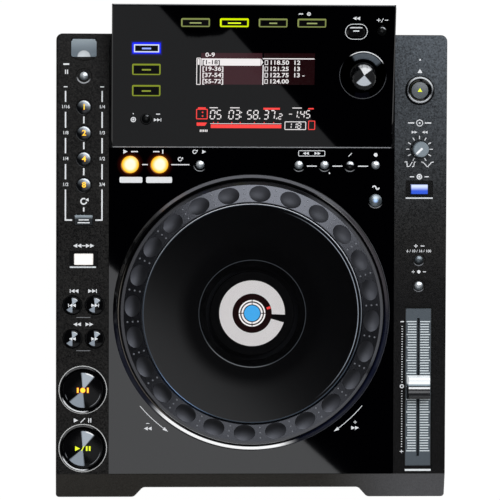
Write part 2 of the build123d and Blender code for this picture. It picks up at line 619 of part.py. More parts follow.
def jog_plate():
    """Flat top plate that gives slightly under the hand, with the lens seat and its guide rib."""
    outer = JOG_BAND_IN - PLATE_GAP
    under = PLATE_TOP - PLATE_T
    rib_end = WEB_TOP + PLATE_TRAVEL + TOUCH_GAP
    hole, seat_r = POD_R + 3, LENS_R + 0.2
    return at_jog(turned([
        (hole, under), (hole, LENS_SEAT), (seat_r, LENS_SEAT), (seat_r, PLATE_TOP - 0.3),
        (seat_r + 0.4, PLATE_TOP), (outer - PLATE_BEVEL, PLATE_TOP), (outer, PLATE_TOP - PLATE_BEVEL),
        (outer, under), (PLATE_RIB_R, under),
        (PLATE_RIB_R, rib_end), (PLATE_RIB_R - 2, rib_end), (PLATE_RIB_R - 2, under),
    ]))


def jog_lens():
    """Clear lens over the centre display, carried by the plate."""
    top = LENS_SEAT + LENS_T
    return at_jog(turned([
        (0, LENS_SEAT), (LENS_R, LENS_SEAT), (LENS_R, top - 0.3), (LENS_R - 0.4, top), (0, top),
    ]))


def jog_display():
    """Fixed centre display on the post, inside the turning wheel."""
    low = HUB_HIGH + SEAM
    high = PLATE_TOP - PLATE_T - PLATE_TRAVEL - POD_GAP
    return at_jog(turned([
        (0, low - 6), (POST_BORE - SHAFT_FIT, low - 6), (POST_BORE - SHAFT_FIT, low), (POST_R + 2, low),
        (POD_R, low + 3.5), (POD_R, high - 0.5), (POD_R - 0.5, high), (0, high),
    ]))


def jog_bezel():
    """Fixed ring in the deck panel, round the wheel."""
    inner = JOG_R + JOG_SIDE_GAP
    outer = inner + BEZEL_WIDTH
    base, crest = DECK_Z - PANEL, DECK_Z + BEZEL_RISE
    return at_jog(turned([
        (inner, base), (inner + BEZEL_SPIGOT, base), (inner + BEZEL_SPIGOT, DECK_Z), (outer, DECK_Z),
        (outer - 0.5, DECK_Z + 1.4), (inner + 1.6, crest - 0.3), (inner + 0.8, crest), (inner, crest - 0.7),
    ]))


def jog_holder():
    """Pan under the wheel, with the hollow post, and its two bearings."""
    outer = JOG_R + JOG_SIDE_GAP + BEZEL_WIDTH + 1.8
    top = DECK_Z - PANEL
    low = top - PAN_DEPTH
    shoulder = POST_R + BEARING_T + HUB_WALL
    pan = turned([
        (POST_BORE, low), (outer, low), (outer, top), (outer - PAN_WALL, top), (outer - PAN_WALL, low + 2),
        (shoulder, low + 2), (shoulder, HUB_LOW - SEAM), (POST_R, HUB_LOW - SEAM), (POST_R, HUB_HIGH + SEAM),
        (POST_BORE, HUB_HIGH + SEAM),
    ])
    race = rod(POST_R + BEARING_T, 0, BEARING_H) - rod(POST_R, 0, BEARING_H)
    bearings = [Pos(0, 0, HUB_LOW - SEAM) * race, Pos(0, 0, HUB_HIGH - BEARING_H) * race]
    return Compound(children=[at_jog(piece) for piece in (pan, *bearings)])


# ---- disc drive ----------------------------------------------------------------------------------------
DRIVE_FRONT = FRONT_Y + RECESS_DEPTH + SKIN + DRIVE_FRONT_GAP
SPINDLE_Y = DRIVE_FRONT + DISC_R + 6
DRIVE_LOW, DRIVE_HIGH = DISC_Z - DRIVE_BELOW, DISC_Z + DRIVE_ABOVE
RAIL_Z = DISC_Z - 9.0
RAIL_FRONT = SPINDLE_Y + TURNTABLE_R + 2
RAIL_REAR = RAIL_FRONT + SLED_LENGTH + SLED_TRAVEL + 2
DRIVE_REAR = RAIL_REAR + 8


def drive_posts():
    reach = DRIVE_HALF_WIDTH - 6
    return [(x, y) for x in (-reach, reach) for y in (DRIVE_FRONT + 8, DRIVE_REAR - 8)]


def drive_frame():
    """The slot drive's folded chassis, its cover, the disc motor, and two pickup rails on their brackets."""
    middle, length = (DRIVE_FRONT + DRIVE_REAR) / 2, DRIVE_REAR - DRIVE_FRONT
    width, floor, lid = 2 * DRIVE_HALF_WIDTH, DRIVE_LOW + DRIVE_SHEET, DRIVE_HIGH - DRIVE_SHEET
    chassis = slab(width, length, DRIVE_LOW, lid, y=middle)
    chassis -= slab(width - 2 * DRIVE_SHEET, length, floor, lid + 1, y=middle - DRIVE_SHEET)
    chassis -= slab(*PICKUP_WINDOW, DRIVE_LOW - 1, floor + 1, y=RAIL_REAR - 22, corner=4)
    ends = Rot(0, 90, 0) * rod(SHAFT_R + SHAFT_FIT, -width, width)
    chassis -= Pos(0, ROLLER_Y, ROLLER_Z) * ends
    cover = slab(width, length, lid, DRIVE_HIGH, y=middle)
    cover -= rod(CLAMP_HOLE_R, lid - 1, DRIVE_HIGH + 1, y=SPINDLE_Y)
    motor_top = DISC_Z - 6.0
    motor = rod(MOTOR_R, floor, motor_top, y=SPINDLE_Y)
    motor -= rod(SHAFT_R + SHAFT_FIT, floor, motor_top, y=SPINDLE_Y)
    post = slab(2 * RAIL_HALF_GAUGE + 10, BRACKET_T, floor, RAIL_Z + RAIL_R + 1.5)
    brackets = [Pos(0, y, 0) * post for y in (RAIL_FRONT - BRACKET_T / 2, RAIL_REAR + BRACKET_T / 2)]
    rail = Rot(-90, 0, 0) * rod(RAIL_R, 0, RAIL_REAR - RAIL_FRONT)
    rails = [Pos(x, RAIL_FRONT, RAIL_Z) * rail for x in (-RAIL_HALF_GAUGE, RAIL_HALF_GAUGE)]
    return Compound(children=[chassis, cover, motor, *brackets, *rails])


ROLLER_Y = DRIVE_FRONT + ROLLER_BACK
ROLLER_Z = DISC_Z - DISC_T / 2 - ROLLER_R


def loading_roller():
    """Rubber roller that draws the disc in: waisted, on a shaft that turns in the drive's side walls."""
    half, shaft_end, waist = ROLLER_LENGTH / 2, DRIVE_HALF_WIDTH + 1.5, ROLLER_R - ROLLER_WAIST
    roller = turned([
        (0, -shaft_end), (SHAFT_R, -shaft_end), (SHAFT_R, -half), (ROLLER_R, -half), (waist, 0),
        (ROLLER_R, half), (SHAFT_R, half), (SHAFT_R, shaft_end), (0, shaft_end),
    ])
    return Pos(0, ROLLER_Y, ROLLER_Z) * Rot(0, 90, 0) * roller


def turntable():
    """Disc turntable with its centring cone and motor shaft."""
    top = DISC_Z - DISC_T / 2
    return Pos(0, SPINDLE_Y, 0) * turned([
        (0, DRIVE_LOW + 2), (SHAFT_R, DRIVE_LOW + 2), (SHAFT_R, DISC_Z - 5.6), (TURNTABLE_R, DISC_Z - 4.0),
        (TURNTABLE_R, top), (SPINDLE_R, top), (SPINDLE_R, top + 1.0), (SPINDLE_R - 2.0, top + CONE_RISE),
        (0, top + CONE_RISE),
    ])


def pickup_sled():
    """Laser pickup on its two rails, at the inner end of its travel."""
    y = RAIL_FRONT + 1.0 + SLED_LENGTH / 2
    width = 2 * RAIL_HALF_GAUGE + 7
    sled = slab(width, SLED_LENGTH, RAIL_Z - SLED_HEIGHT / 2, RAIL_Z + SLED_HEIGHT / 2, y=y, corner=2)
    sled += rod(5.0, RAIL_Z + SLED_HEIGHT / 2 - 0.5, RAIL_Z + SLED_HEIGHT / 2 + 1.0, y=y - 4)
    sled += rod(2.6, RAIL_Z + SLED_HEIGHT / 2, RAIL_Z + SLED_HEIGHT / 2 + 2.2, y=y - 4)
    bore = Pos(0, y - SLED_LENGTH, RAIL_Z) * Rot(-90, 0, 0) * rod(RAIL_R + SHAFT_FIT, 0, 2 * SLED_LENGTH)
    for x in (-RAIL_HALF_GAUGE, RAIL_HALF_GAUGE):
        sled -= Pos(x, 0, 0) * bore
    return sled


# ---- knobs, fader and cover ----------------------------------------------------------------------------
def selector_plunger():
    """Shaft of the selector, which slides down when the knob is pressed."""
    top = SELECTOR_SOCKET
    shaft = rod(SELECTOR_SHAFT_R, -SELECTOR_SHAFT_END, top)
    shaft += rod(SELECTOR_SHAFT_R + 1.2, -WINDOW - 1.5, -WINDOW - KEY_GAP)
    return SLOPED.location * Pos(SELECTOR_X, SELECTOR_Y, 0) * shaft


def selector_knob():
    """Fluted selector with a shallow crown, which turns on its plunger."""
    low, rise, bore = SELECTOR_GAP - WELL_DEPTH, SELECTOR_RISE, SELECTOR_SHAFT_R + SHAFT_FIT
    radius, skirt, socket = SELECTOR_R, SELECTOR_R + 0.6, SELECTOR_SOCKET + TOUCH_GAP
    knob = turned([
        (bore, low), (skirt, low), (skirt, low + 1.8), (radius, low + 2.6), (radius - 0.5, rise - 0.8),
        (radius - 1.3, rise), (0, rise), (0, socket), (bore, socket),
    ])
    flute = rod(1.5, low + 2.6, rise + 1, x=SELECTOR_R + 0.6)
    knob -= [Rot(0, 0, i * 360 / SELECTOR_FLUTES) * flute for i in range(SELECTOR_FLUTES)]
    return SLOPED.location * Pos(SELECTOR_X, SELECTOR_Y, 0) * knob


def speed_knob():
    """Ribbed, slightly tapered knob on its shaft, with a pointer groove."""
    knob = turned([
        (0, -BOARD_DEPTH + 2), (3.0, -BOARD_DEPTH + 2), (3.0, -SKIN - 1), (SPEED_R - 0.5, -SKIN - 1),
        (SPEED_R - 0.5, 0.4), (SPEED_R, 1.0), (SPEED_R - 0.8, SPEED_RISE - 0.8), (SPEED_R - 1.5, SPEED_RISE),
        (0, SPEED_RISE),
    ])
    notch = rod(0.7, 2.0, SPEED_RISE + 1, x=SPEED_R + 0.1)
    knob -= [Rot(0, 0, (i + 0.5) * 360 / SPEED_RIBS) * notch for i in range(SPEED_RIBS)]
    groove = Pos(SPEED_R / 2 - 0.3, 0, SPEED_RISE) * Box(SPEED_R + 1, 0.9, 0.8)
    knob -= Rot(0, 0, 224) * groove
    return DECK.location * Pos(RIGHT_X, SPEED_Y, 0) * knob


def tempo_fader():
    """Scale plate and slide-resistor body, slotted for the cap's stem."""
    top = -FADER_SINK
    fader = slab(FADER_WIDTH, FADER_LENGTH, -SKIN, top)
    fader += slab(FADER_WIDTH + 6, FADER_LENGTH + 6, -SKIN - 1.5, -SKIN)
    fader += slab(FADER_WIDTH - 4, FADER_LENGTH - 4, top - 12, -SKIN)
    length = FADER_TRAVEL + STEM_LENGTH + 2.5
    fader -= slab(FADER_WIDTH - 8, length + 2, top - 10, top - 3)
    fader -= slab(FADER_SLOT, length, top - 4, top + 1)
    return DECK.location * Pos(RIGHT_X, FADER_Y, 0) * fader


def tempo_cap():
    """Fader cap with two finger slopes and a middle ridge, on its stem and carriage."""
    low, half, rise = -FADER_SINK + 0.7, CAP_LENGTH / 2, CAP_RISE
    valley, crest = rise - 3.0, half - 2.4
    outline = make_face([
        Polyline((-half, low), (-half, low + 2.0), (-half + 1.0, rise - 1.2), (-crest, rise)),
        ThreePointArc((-crest, rise), (-3.6, rise - 2.6), (-1.2, valley)),
        Polyline((-1.2, valley), (-0.8, valley + 0.7), (0.8, valley + 0.7), (1.2, valley)),
        ThreePointArc((1.2, valley), (3.6, rise - 2.6), (crest, rise)),
        Polyline((crest, rise), (half - 1.0, rise - 1.2), (half, low + 2.0), (half, low), (-half, low)),
    ])
    cap = extrude(Plane.YZ * outline, CAP_WIDTH / 2, both=True)
    side, lean = CAP_WIDTH / 2, 0.9
    sides = make_face(Polyline(
        (-side, low), (lean - side, rise + 1), (side - lean, rise + 1), (side, low), close=True
    ))
    cap &= extrude(Plane.XZ * sides, CAP_LENGTH, both=True)
    stem = slab(STEM_T, STEM_LENGTH, -FADER_SINK - 5, low + 1)
    carriage = slab(FADER_WIDTH - 9, STEM_LENGTH, -FADER_SINK - 9, -FADER_SINK - 4.5)
    return DECK.location * Pos(RIGHT_X, FADER_Y, 0) * (cap + stem + carriage)


COVER_PIN_Y = COVER_Y + COVER_DEPTH / 2 - 1.6
PORT_Y = COVER_Y - 1.0
COVER_PIN_Z = DECK_Z - COVER_T / 2


def usb_well():
    """Well under the port cover: its walls, a floor with a pocket for the port, and the cover's hinge pin."""
    wall = SKIN / 2
    well_w, well_d = COVER_WIDTH + 2 * SEAM, COVER_DEPTH + 2 * SEAM
    port_w, port_d = USB_WIDTH + 2 * SEAM, USB_DEPTH + 2 * SEAM
    floor, base = DECK_Z - WELL_FLOOR, DECK_Z - PORT_BASE
    well = slab(well_w + 2 * wall, well_d + 2 * wall, floor - wall, DECK_Z - wall, LEFT_X, COVER_Y)
    well -= slab(well_w, well_d, floor, DECK_Z + 1, LEFT_X, COVER_Y)
    well += slab(port_w + 2 * wall, port_d + 2 * wall, base - wall, floor, LEFT_X, PORT_Y)
    well -= slab(port_w, port_d, base, floor + 1, LEFT_X, PORT_Y)
    reach = COVER_WIDTH / 2 + 2 * SEAM
    pin = Rot(0, 90, 0) * rod(COVER_PIN_R - SHAFT_FIT, -reach, reach)
    return well + Pos(LEFT_X, COVER_PIN_Y, COVER_PIN_Z) * pin


def thumb_recess():
    """Crescent recess in front of the cover, as wide as the cover, as a cutter."""
    radius = ((COVER_WIDTH / 2) ** 2 + THUMB_REACH**2) / (2 * THUMB_REACH)
    front = COVER_Y - COVER_DEPTH / 2
    floor_r = radius - THUMB_DEPTH / 2
    cutter = turned([(0, -THUMB_DEPTH), (floor_r, -THUMB_DEPTH), (radius, 0), (radius, 1), (0, 1)])
    cutter = Pos(LEFT_X, front - THUMB_REACH + radius, 0) * cutter
    cutter -= slab(4 * radius, 4 * radius, -SKIN, 2, LEFT_X, front + 2 * radius)
    return DECK.location * cutter


def usb_cover():
    """Flip-up cover of the port, hinged on a pin along its rear edge."""
    hinge_y = COVER_DEPTH / 2 - 1.6
    plate = slab(COVER_WIDTH, COVER_DEPTH - 1.6, -COVER_T, 0, y=-0.8, corner=COVER_CORNER_R)
    plate += slab(COVER_WIDTH - 2, 2.4, -COVER_T, 0, y=hinge_y)
    hinge = Pos(0, hinge_y, -COVER_T / 2) * Rot(0, 90, 0)
    plate += hinge * rod(COVER_T / 2, 1 - COVER_WIDTH / 2, COVER_WIDTH / 2 - 1)
    plate -= hinge * rod(COVER_PIN_R, -COVER_WIDTH, COVER_WIDTH)
    ball = (SCOOP_R**2 + SCOOP_DEPTH**2) / (2 * SCOOP_DEPTH)
    plate -= Pos(0, -COVER_DEPTH / 2, ball - SCOOP_DEPTH) * Sphere(ball)
    return DECK.location * Pos(LEFT_X, COVER_Y, 0) * plate


# ---- boards and sockets --------------------------------------------------------------------------------
SOCKET_HALF = 7.0            # half the height of the socket bodies, which stand on the main board
BOARD_TOP = SOCKET_Z - SOCKET_HALF
BOARD_Z = BOARD_TOP - BOARD_T
BOARD_INSET = 6.0            # post centres, from a board's edges
BOARDS_FRONT_Y = REAR_Y - 110.0
# left, right, front and rear edges of the two boards
MAIN_BOARD = (60.5 - BODY_WIDTH / 2, BODY_WIDTH / 2 - 24.5, BOARDS_FRONT_Y, REAR_Y - 10.0)
SUPPLY_BOARD = (14.5 - BODY_WIDTH / 2, 54.5 - BODY_WIDTH / 2, BOARDS_FRONT_Y, REAR_Y - 22.0)


def board_posts():
    """Where the two boards in the bottom case are carried."""
    places = []
    for left, right, front, rear in (MAIN_BOARD, SUPPLY_BOARD):
        for x in (left + BOARD_INSET, right - BOARD_INSET):
            places += [(x, front + BOARD_INSET), (x, rear - 3 * BOARD_INSET)]
    return places


def plate_between(edges, low, high):
    left, right, front, rear = edges
    return slab(right - left, rear - front, low, high, (left + right) / 2, (front + rear) / 2)


def gap_between(keys, first, second):
    """The middle of the space between two keys of a column."""
    by_name = {key.name: key for key in keys}
    upper, lower = by_name[first], by_name[second]
    return (upper.y - half_depth(upper) + lower.y + half_depth(lower)) / 2


def half_depth(key):
    return key.radius if key.radius else key.depth / 2


def cabinet_bosses():
    """Bosses under the cabinet's side panels, between the keys, that carry the key boards."""
    left_rows = [
        gap_between(cabinet_keys, "stop_key", "beat_1_key"),
        gap_between(cabinet_keys, "beat_8_key", "beat_select_key"),
        gap_between(cabinet_keys, "reverse_key", "track_back_key"),
        gap_between(cabinet_keys, "search_back_key", "cue_key"),
        gap_between(cabinet_keys, "cue_key", "play_key"),
    ]
    right_rows = [
        (SPEED_Y + gap_between(cabinet_keys, "eject_key", "jog_mode_key")) / 2 + SPEED_R,
        gap_between(cabinet_keys, "jog_mode_key", "tempo_range_key"),
        gap_between(cabinet_keys, "tempo_range_key", "master_tempo_key"),
    ]
    reach = SIDE_PANEL_WIDTH / 2 - KEY_BOARD_INSET - BOSS_R
    left = [(LEFT_X + side * reach, y) for side in (-1, 1) for y in left_rows]
    return left + [(RIGHT_X + side * reach, y) for side in (-1, 1) for y in right_rows]


def deck_bosses():
    """Bosses under the deck panel, between the keys of its rear row."""
    xs = [key.x for key in deck_keys[:-1]]
    return [((first + second) / 2, DECK_ROW_Y) for first, second in zip(xs, xs[1:])]


def switch(key):
    """The switch body under a key, in the panel's frame."""
    high = -PLUNGER_END - key.travel - TOUCH_GAP
    return slab(5, 5, -BOARD_DEPTH, high, key.x, key.y)


def key_board(face, keys, plane):
    """A key board in its panel's frame, with a switch under every key."""
    board = prism(face, -BOARD_DEPTH - BOARD_T, -BOARD_DEPTH)
    for key in keys:
        board += switch(key)
    return plane.location * board


def main_board():
    """Main board with its processors, capacitors and the body of the power switch."""
    left, right, front, _ = MAIN_BOARD
    board = plate_between(MAIN_BOARD, BOARD_Z, BOARD_TOP)
    board += slab(28, 28, BOARD_TOP, BOARD_TOP + 3, left + 60, front + 40)
    board += slab(22, 22, BOARD_TOP, BOARD_TOP + 3, left + 110, front + 50)
    for i in range(4):
        board += slab(9, 16, BOARD_TOP, BOARD_TOP + 2, left + 90 + i * 13, front + 22)
    for i in range(3):
        board += rod(5.0, BOARD_TOP, BOARD_TOP + 12, right - 20 - i * 14, front + 14)
    back = REAR_FACE - POWER_STEM - POWER_TRAVEL - TOUCH_GAP
    return board + slab(14, 16, BOARD_TOP, SOCKET_Z + 5, POWER_X, back - 8)


def supply_board():
    """Power supply: its board, transformer, capacitors and heat sink."""
    left, _, front, _ = SUPPLY_BOARD
    board = plate_between(SUPPLY_BOARD, BOARD_Z, BOARD_TOP)
    board += slab(28, 26, BOARD_TOP, BOARD_TOP + 20, left + 20, front + 40)
    board += rod(8.0, BOARD_TOP, BOARD_TOP + 18, left + 12, front + 68)
    board += rod(5.0, BOARD_TOP, BOARD_TOP + 14, left + 30, front + 66)
    for i in range(4):
        board += slab(1.2, 12, BOARD_TOP, BOARD_TOP + 18, left + 12 + i * 4, front + 14)
    return board + slab(13.2, 1.5, BOARD_TOP, BOARD_TOP + 18, left + 18, front + 8)


def circuit_boards():
    """The main and supply boards, the key boards under the panels, and the screen module."""
    half = SIDE_PANEL_WIDTH / 2 - KEY_BOARD_INSET
    rear, front = REAR_Y - 26, FRONT_Y + 22
    left = Pos(LEFT_X, (rear + front) / 2) * Rectangle(2 * half, rear - front)
    right_front = FADER_Y + FADER_LENGTH / 2 + 5
    right = Pos(RIGHT_X, (rear + right_front) / 2) * Rectangle(2 * half, rear - right_front)
    row = Pos(0, DECK_ROW_Y + 3.5) * Rectangle(2 * PANEL_HALF_WIDTH - 14, 15)
    slip = deck_keys[-1]
    row += Pos(slip.x, (slip.y + DECK_ROW_Y) / 2) * Rectangle(15, DECK_ROW_Y - slip.y + 15)
    screen = Pos(0, SLOPE_LENGTH / 2) * Rectangle(2 * DISPLAY_HALF_WIDTH - 12, SLOPE_LENGTH - 24)
    left_keys = [key for key in cabinet_keys if key.x < 0]
    right_keys = [key for key in cabinet_keys if key.x > 0]
    speed = rod(5.0, -BOARD_DEPTH, -BOARD_DEPTH + 1.5, RIGHT_X, SPEED_Y)
    selector = rod(5.0, -BOARD_DEPTH, -SELECTOR_SHAFT_END - SELECTOR_GAP + 0.1, SELECTOR_X, SELECTOR_Y)
    return Compound(children=[
        main_board(),
        supply_board(),
        key_board(left, left_keys, DECK),
        key_board(right, right_keys, DECK) + DECK.location * speed,
        key_board(row, deck_keys, DECK),
        key_board(screen, display_keys, SLOPED) + SLOPED.location * selector,
        display_module(),
    ])


REAR_FACE = REAR_Y - CASE_STEP
AUDIO_X = (84.0, 66.0)
CONTROL_X, DIGITAL_X, LOCK_X = 44.0, 24.0, 0.0
LINK_X, DATA_X = -32.0, -58.0
MAINS_X = 36.5 - BODY_WIDTH / 2
POWER_X = BODY_WIDTH / 2 - 34.5
SOCKET_RIM = 0.6             # how far the sockets stand out of the rear wall
BOX_RIM, MAINS_RIM = 1.2, 1.8
PHONO_R, PHONO_BORE, PHONO_LENGTH, PHONO_COLLAR_R = 4.15, 1.7, 9.0, 5.2
CONTROL_BORE, CONTROL_COLLAR_R = 1.8, 4.0
LINK_OPENING, DATA_OPENING, MAINS_OPENING = (12.0, 8.4), (8.5, 7.8), (24.4, 16.4)


def to_rear(part):
    """Turns a part made with +Z outwards so that it faces the rear, at the socket row."""
    return Pos(0, REAR_FACE, SOCKET_Z) * Rot(-90, 0, 0) * part


def phono_socket():
    body = slab(14, 2 * SOCKET_HALF, -14, -CASE_SKIN) + rod(PHONO_COLLAR_R, -CASE_SKIN, SOCKET_RIM)
    body += rod(PHONO_R, SOCKET_RIM, PHONO_LENGTH)
    return body - rod(PHONO_BORE, -6, PHONO_LENGTH + 1)


def control_socket():
    body = slab(11, 2 * SOCKET_HALF, -15, -CASE_SKIN) + rod(CONTROL_COLLAR_R, -CASE_SKIN, SOCKET_RIM)
    return body - rod(CONTROL_BORE, -13, SOCKET_RIM + 1)


def boxed_socket(opening, depth, rim=BOX_RIM):
    width, height = opening
    outer_width, outer_height = width + 2 * rim, height + 2 * rim
    body = slab(outer_width, outer_height, -depth - rim, SOCKET_RIM)
    body += slab(outer_width + 2, max(outer_height + 2, 2 * SOCKET_HALF), -depth - rim, -CASE_SKIN)
    return body - slab(width, height, -depth, SOCKET_RIM + 1)


def sockets():
    """The sockets in the rear wall, phono, control, network, data and mains, and the port under the cover."""
    phono = phono_socket()
    data = boxed_socket(DATA_OPENING, 11) + slab(5.6, 3.2, -12, -1.5)
    mains = boxed_socket(MAINS_OPENING, 16, rim=MAINS_RIM)
    for x, z in ((-7.0, -2.0), (7.0, -2.0), (0.0, 2.5)):
        mains += slab(2.0, 4.0, -17, -5.0, x, z)
    placed = [(x, phono) for x in (*AUDIO_X, DIGITAL_X)]
    placed += [(CONTROL_X, control_socket()), (LINK_X, boxed_socket(LINK_OPENING, 12))]
    placed += [(DATA_X, data), (MAINS_X, mains)]
    rear = [Pos(x, 0, 0) * to_rear(socket) for x, socket in placed]
    return Compound(children=[*rear, usb_port()])


def socket_cuts():
    """Cut-outs of the rear wall for the sockets, the power key and the lock slot."""
    deep = -CASE_SKIN - 1
    cuts = [Pos(x, 0, 0) * rod(PHONO_COLLAR_R + SEAM, deep, 1) for x in (*AUDIO_X, DIGITAL_X)]
    cuts.append(Pos(CONTROL_X, 0, 0) * rod(CONTROL_COLLAR_R + SEAM, deep, 1))
    boxed = [(LINK_X, LINK_OPENING, BOX_RIM), (DATA_X, DATA_OPENING, BOX_RIM)]
    boxed.append((MAINS_X, MAINS_OPENING, MAINS_RIM))
    for x, (width, height), rim in boxed:
        grow = 2 * (rim + SEAM)
        cuts.append(Pos(x, 0, 0) * slab(width + grow, height + grow, deep, 1))
    cuts.append(Pos(LOCK_X, 0, 0) * slab(7, 3, deep, 1, corner=1))
    power_w, power_h = POWER_KEY
    cuts.append(Pos(POWER_X, 0, 0) * slab(power_w + 2 * KEY_GAP, power_h + 2 * KEY_GAP, deep, 1, corner=1.0))
    return [to_rear(cut) for cut in cuts]


POWER_KEY = (13.0, 9.0)
POWER_REACH = 2.5              # how far it stands out of the wall
POWER_TRAVEL = 2.0
POWER_STEM = 12.0


def power_key():
    """Push-push power key in the rear wall."""
    cap = slab(*POWER_KEY, -CASE_SKIN - KEY_GAP, POWER_REACH, corner=1.0)
    cap = chamfer(cap.faces().sort_by(Axis.Z)[-1].edges(), 0.6)
    cap += slab(POWER_KEY[0] + 2, POWER_KEY[1] + 2, -CASE_SKIN - KEY_GAP - 1.2, -CASE_SKIN - KEY_GAP)
    cap += rod(2.0, -POWER_STEM, -CASE_SKIN - KEY_GAP - 1)
    return Pos(POWER_X, 0, 0) * to_rear(cap)


def usb_port():
    """Data port standing in the well, mouth upwards."""
    low, high = DECK_Z - PORT_BASE, DECK_Z - PORT_TOP
    shell = slab(USB_WIDTH, USB_DEPTH, low, high, LEFT_X, PORT_Y)
    shell -= slab(USB_WIDTH - 0.8, USB_DEPTH - 0.8, low + 1, high + 1, LEFT_X, PORT_Y)
    return shell + slab(11.0, 1.8, low + 0.5, high - 1.0, LEFT_X, PORT_Y + 1)


# ---- every piece ---------------------------------------------------------------------------------------
def pieces():
    """Name and solid of every piece."""
    made = {
        "bottom_case": bottom_case(),
        "rubber_feet": rubber_feet(),
        "upper_cabinet": upper_cabinet(),
        "deck_panel": deck_panel(),
        "display_housing": display_housing(),
        "display_window": display_window(),
        "trim_rings": trim_rings(),
        "jog_holder": jog_holder(),
        "jog_display": jog_display(),
        "jog_ring": jog_ring(),
        "jog_plate": jog_plate(),
        "jog_lens": jog_lens(),
        "drive_frame": drive_frame(),
        "drive_turntable": turntable(),
        "pickup_sled": pickup_sled(),
        "loading_roller": loading_roller(),
        "selector_plunger": selector_plunger(),
        "selector_knob": selector_knob(),
        "speed_knob": speed_knob(),
        "tempo_fader": tempo_fader(),
        "tempo_cap": tempo_cap(),
        "usb_cover": usb_cover(),
        "sockets": sockets(),
        "power_key": power_key(),
        "circuit_boards": circuit_boards(),
    }
    for keys, thickness, plane in (
        (cabinet_keys, SKIN, DECK), (deck_keys, PANEL, DECK), (display_keys, WINDOW, SLOPED)
    ):
        for key in keys:
            made[key.name] = push_key(key, thickness, plane)
    return made


os.makedirs("parts", exist_ok=True)
for name, shape in pieces().items():
    export_step(shape, f"parts/{name}.step")
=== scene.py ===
"""Finishes, printed marks, lit screens and studio for a tabletop disc player."""

import json
import math
from functools import partial

import bpy
from mathutils import Matrix, Vector
from mathutils.bvhtree import BVHTree

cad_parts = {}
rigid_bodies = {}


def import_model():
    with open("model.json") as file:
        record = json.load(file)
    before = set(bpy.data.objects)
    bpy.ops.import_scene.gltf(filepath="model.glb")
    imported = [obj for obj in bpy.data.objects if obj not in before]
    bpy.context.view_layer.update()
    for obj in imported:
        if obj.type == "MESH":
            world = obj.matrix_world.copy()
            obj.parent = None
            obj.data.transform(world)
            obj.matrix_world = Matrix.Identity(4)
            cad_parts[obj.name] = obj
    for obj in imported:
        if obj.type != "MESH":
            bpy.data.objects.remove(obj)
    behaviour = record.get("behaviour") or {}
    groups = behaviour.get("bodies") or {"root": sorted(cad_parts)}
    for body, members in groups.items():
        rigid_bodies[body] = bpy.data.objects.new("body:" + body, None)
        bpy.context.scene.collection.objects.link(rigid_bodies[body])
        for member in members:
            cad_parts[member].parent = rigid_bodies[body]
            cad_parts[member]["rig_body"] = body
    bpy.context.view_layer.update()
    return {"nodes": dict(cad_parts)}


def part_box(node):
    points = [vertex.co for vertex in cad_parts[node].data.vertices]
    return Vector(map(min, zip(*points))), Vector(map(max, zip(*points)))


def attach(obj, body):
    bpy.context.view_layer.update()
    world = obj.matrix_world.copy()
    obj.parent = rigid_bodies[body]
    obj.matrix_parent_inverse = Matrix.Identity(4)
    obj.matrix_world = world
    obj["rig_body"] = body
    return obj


bl_info = {
    "name": "Tabletop disc player looks",
    "version": (1, 0, 0),
    "blender": (4, 5, 0),
    "location": "View3D > Sidebar > Disc player",
    "description": "Finishes, marks, screens and studio for a tabletop disc player",
    "category": "Object",
}

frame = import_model()
NODES = frame["nodes"]
MM = 0.001

BEAT_KEYS = {beats: f"beat_{beats}_key" for beats in "1248"}
TRACK_KEYS = {"track_back_key": "last", "track_forward_key": "next",
              "search_back_key": "back", "search_forward_key": "forward"}
LOOP_KEYS = ("loop_in_key", "loop_out_key")


def linear(colour):
    """A colour in linear light: it is given as six hexadecimal digits, or is in linear light already."""
    if not isinstance(colour, str):
        return tuple(colour)
    parts = [int(colour[i:i + 2], 16) / 255 for i in (0, 2, 4)]
    return tuple(p / 12.92 if p <= 0.04045 else ((p + 0.055) / 1.055) ** 2.4 for p in parts)


# ---- sizes and colours that a user would change -----------------------------------------------------------
def length(name, millimetres, description):
    return bpy.props.FloatProperty(
        name=name, default=millimetres * MM, unit="LENGTH", subtype="DISTANCE", precision=5,
        description=description,
    )


def colour(name, code, description):
    return bpy.props.FloatVectorProperty(
        name=name, default=linear(code), size=3, subtype="COLOR", min=0, max=1, description=description,
    )


class PlayerSizes(bpy.types.PropertyGroup):
    """Sizes of the printed and lit marks."""

    print_lift: length("Print lift", 0.06, "Height of a printed mark above its panel")
    print_sink: length("Print sink", 0.05, "Depth of a printed mark in its panel")
    line: length("Panel line", 1.1, "Width of the lines printed on the side panels")
    thin_line: length("Thin line", 0.6, "Width of ticks and thin lines")
    slope_run: length("Slope run", 109.95, "Plan depth of the display's window")
    slope_rise: length("Slope rise", 29.5, "Rise of the display's window from front to rear")
    dimples: bpy.props.IntProperty(
        name="Dimples", default=24, min=1, description="Hollows round the jog wheel",
    )
    dimple_start: bpy.props.FloatProperty(
        name="Dimple start", default=math.radians(3.5), subtype="ANGLE",
        description="First hollow, clockwise from the rear",
    )
    dimple_radius: length("Dimple radius", 93.15, "Distance of the hollows from the wheel's axis")
    dimple_length: length("Dimple length", 16.6, "Length of a hollow round the wheel")
    dimple_width: length("Dimple width", 12.4, "Width of a hollow across the band")
    dot_radius: length("Dot radius", 0.75, "Radius of the raised dots between the hollows")
    dot_pitch: length("Dot pitch", 4.1, "Distance between the raised dots of a row")


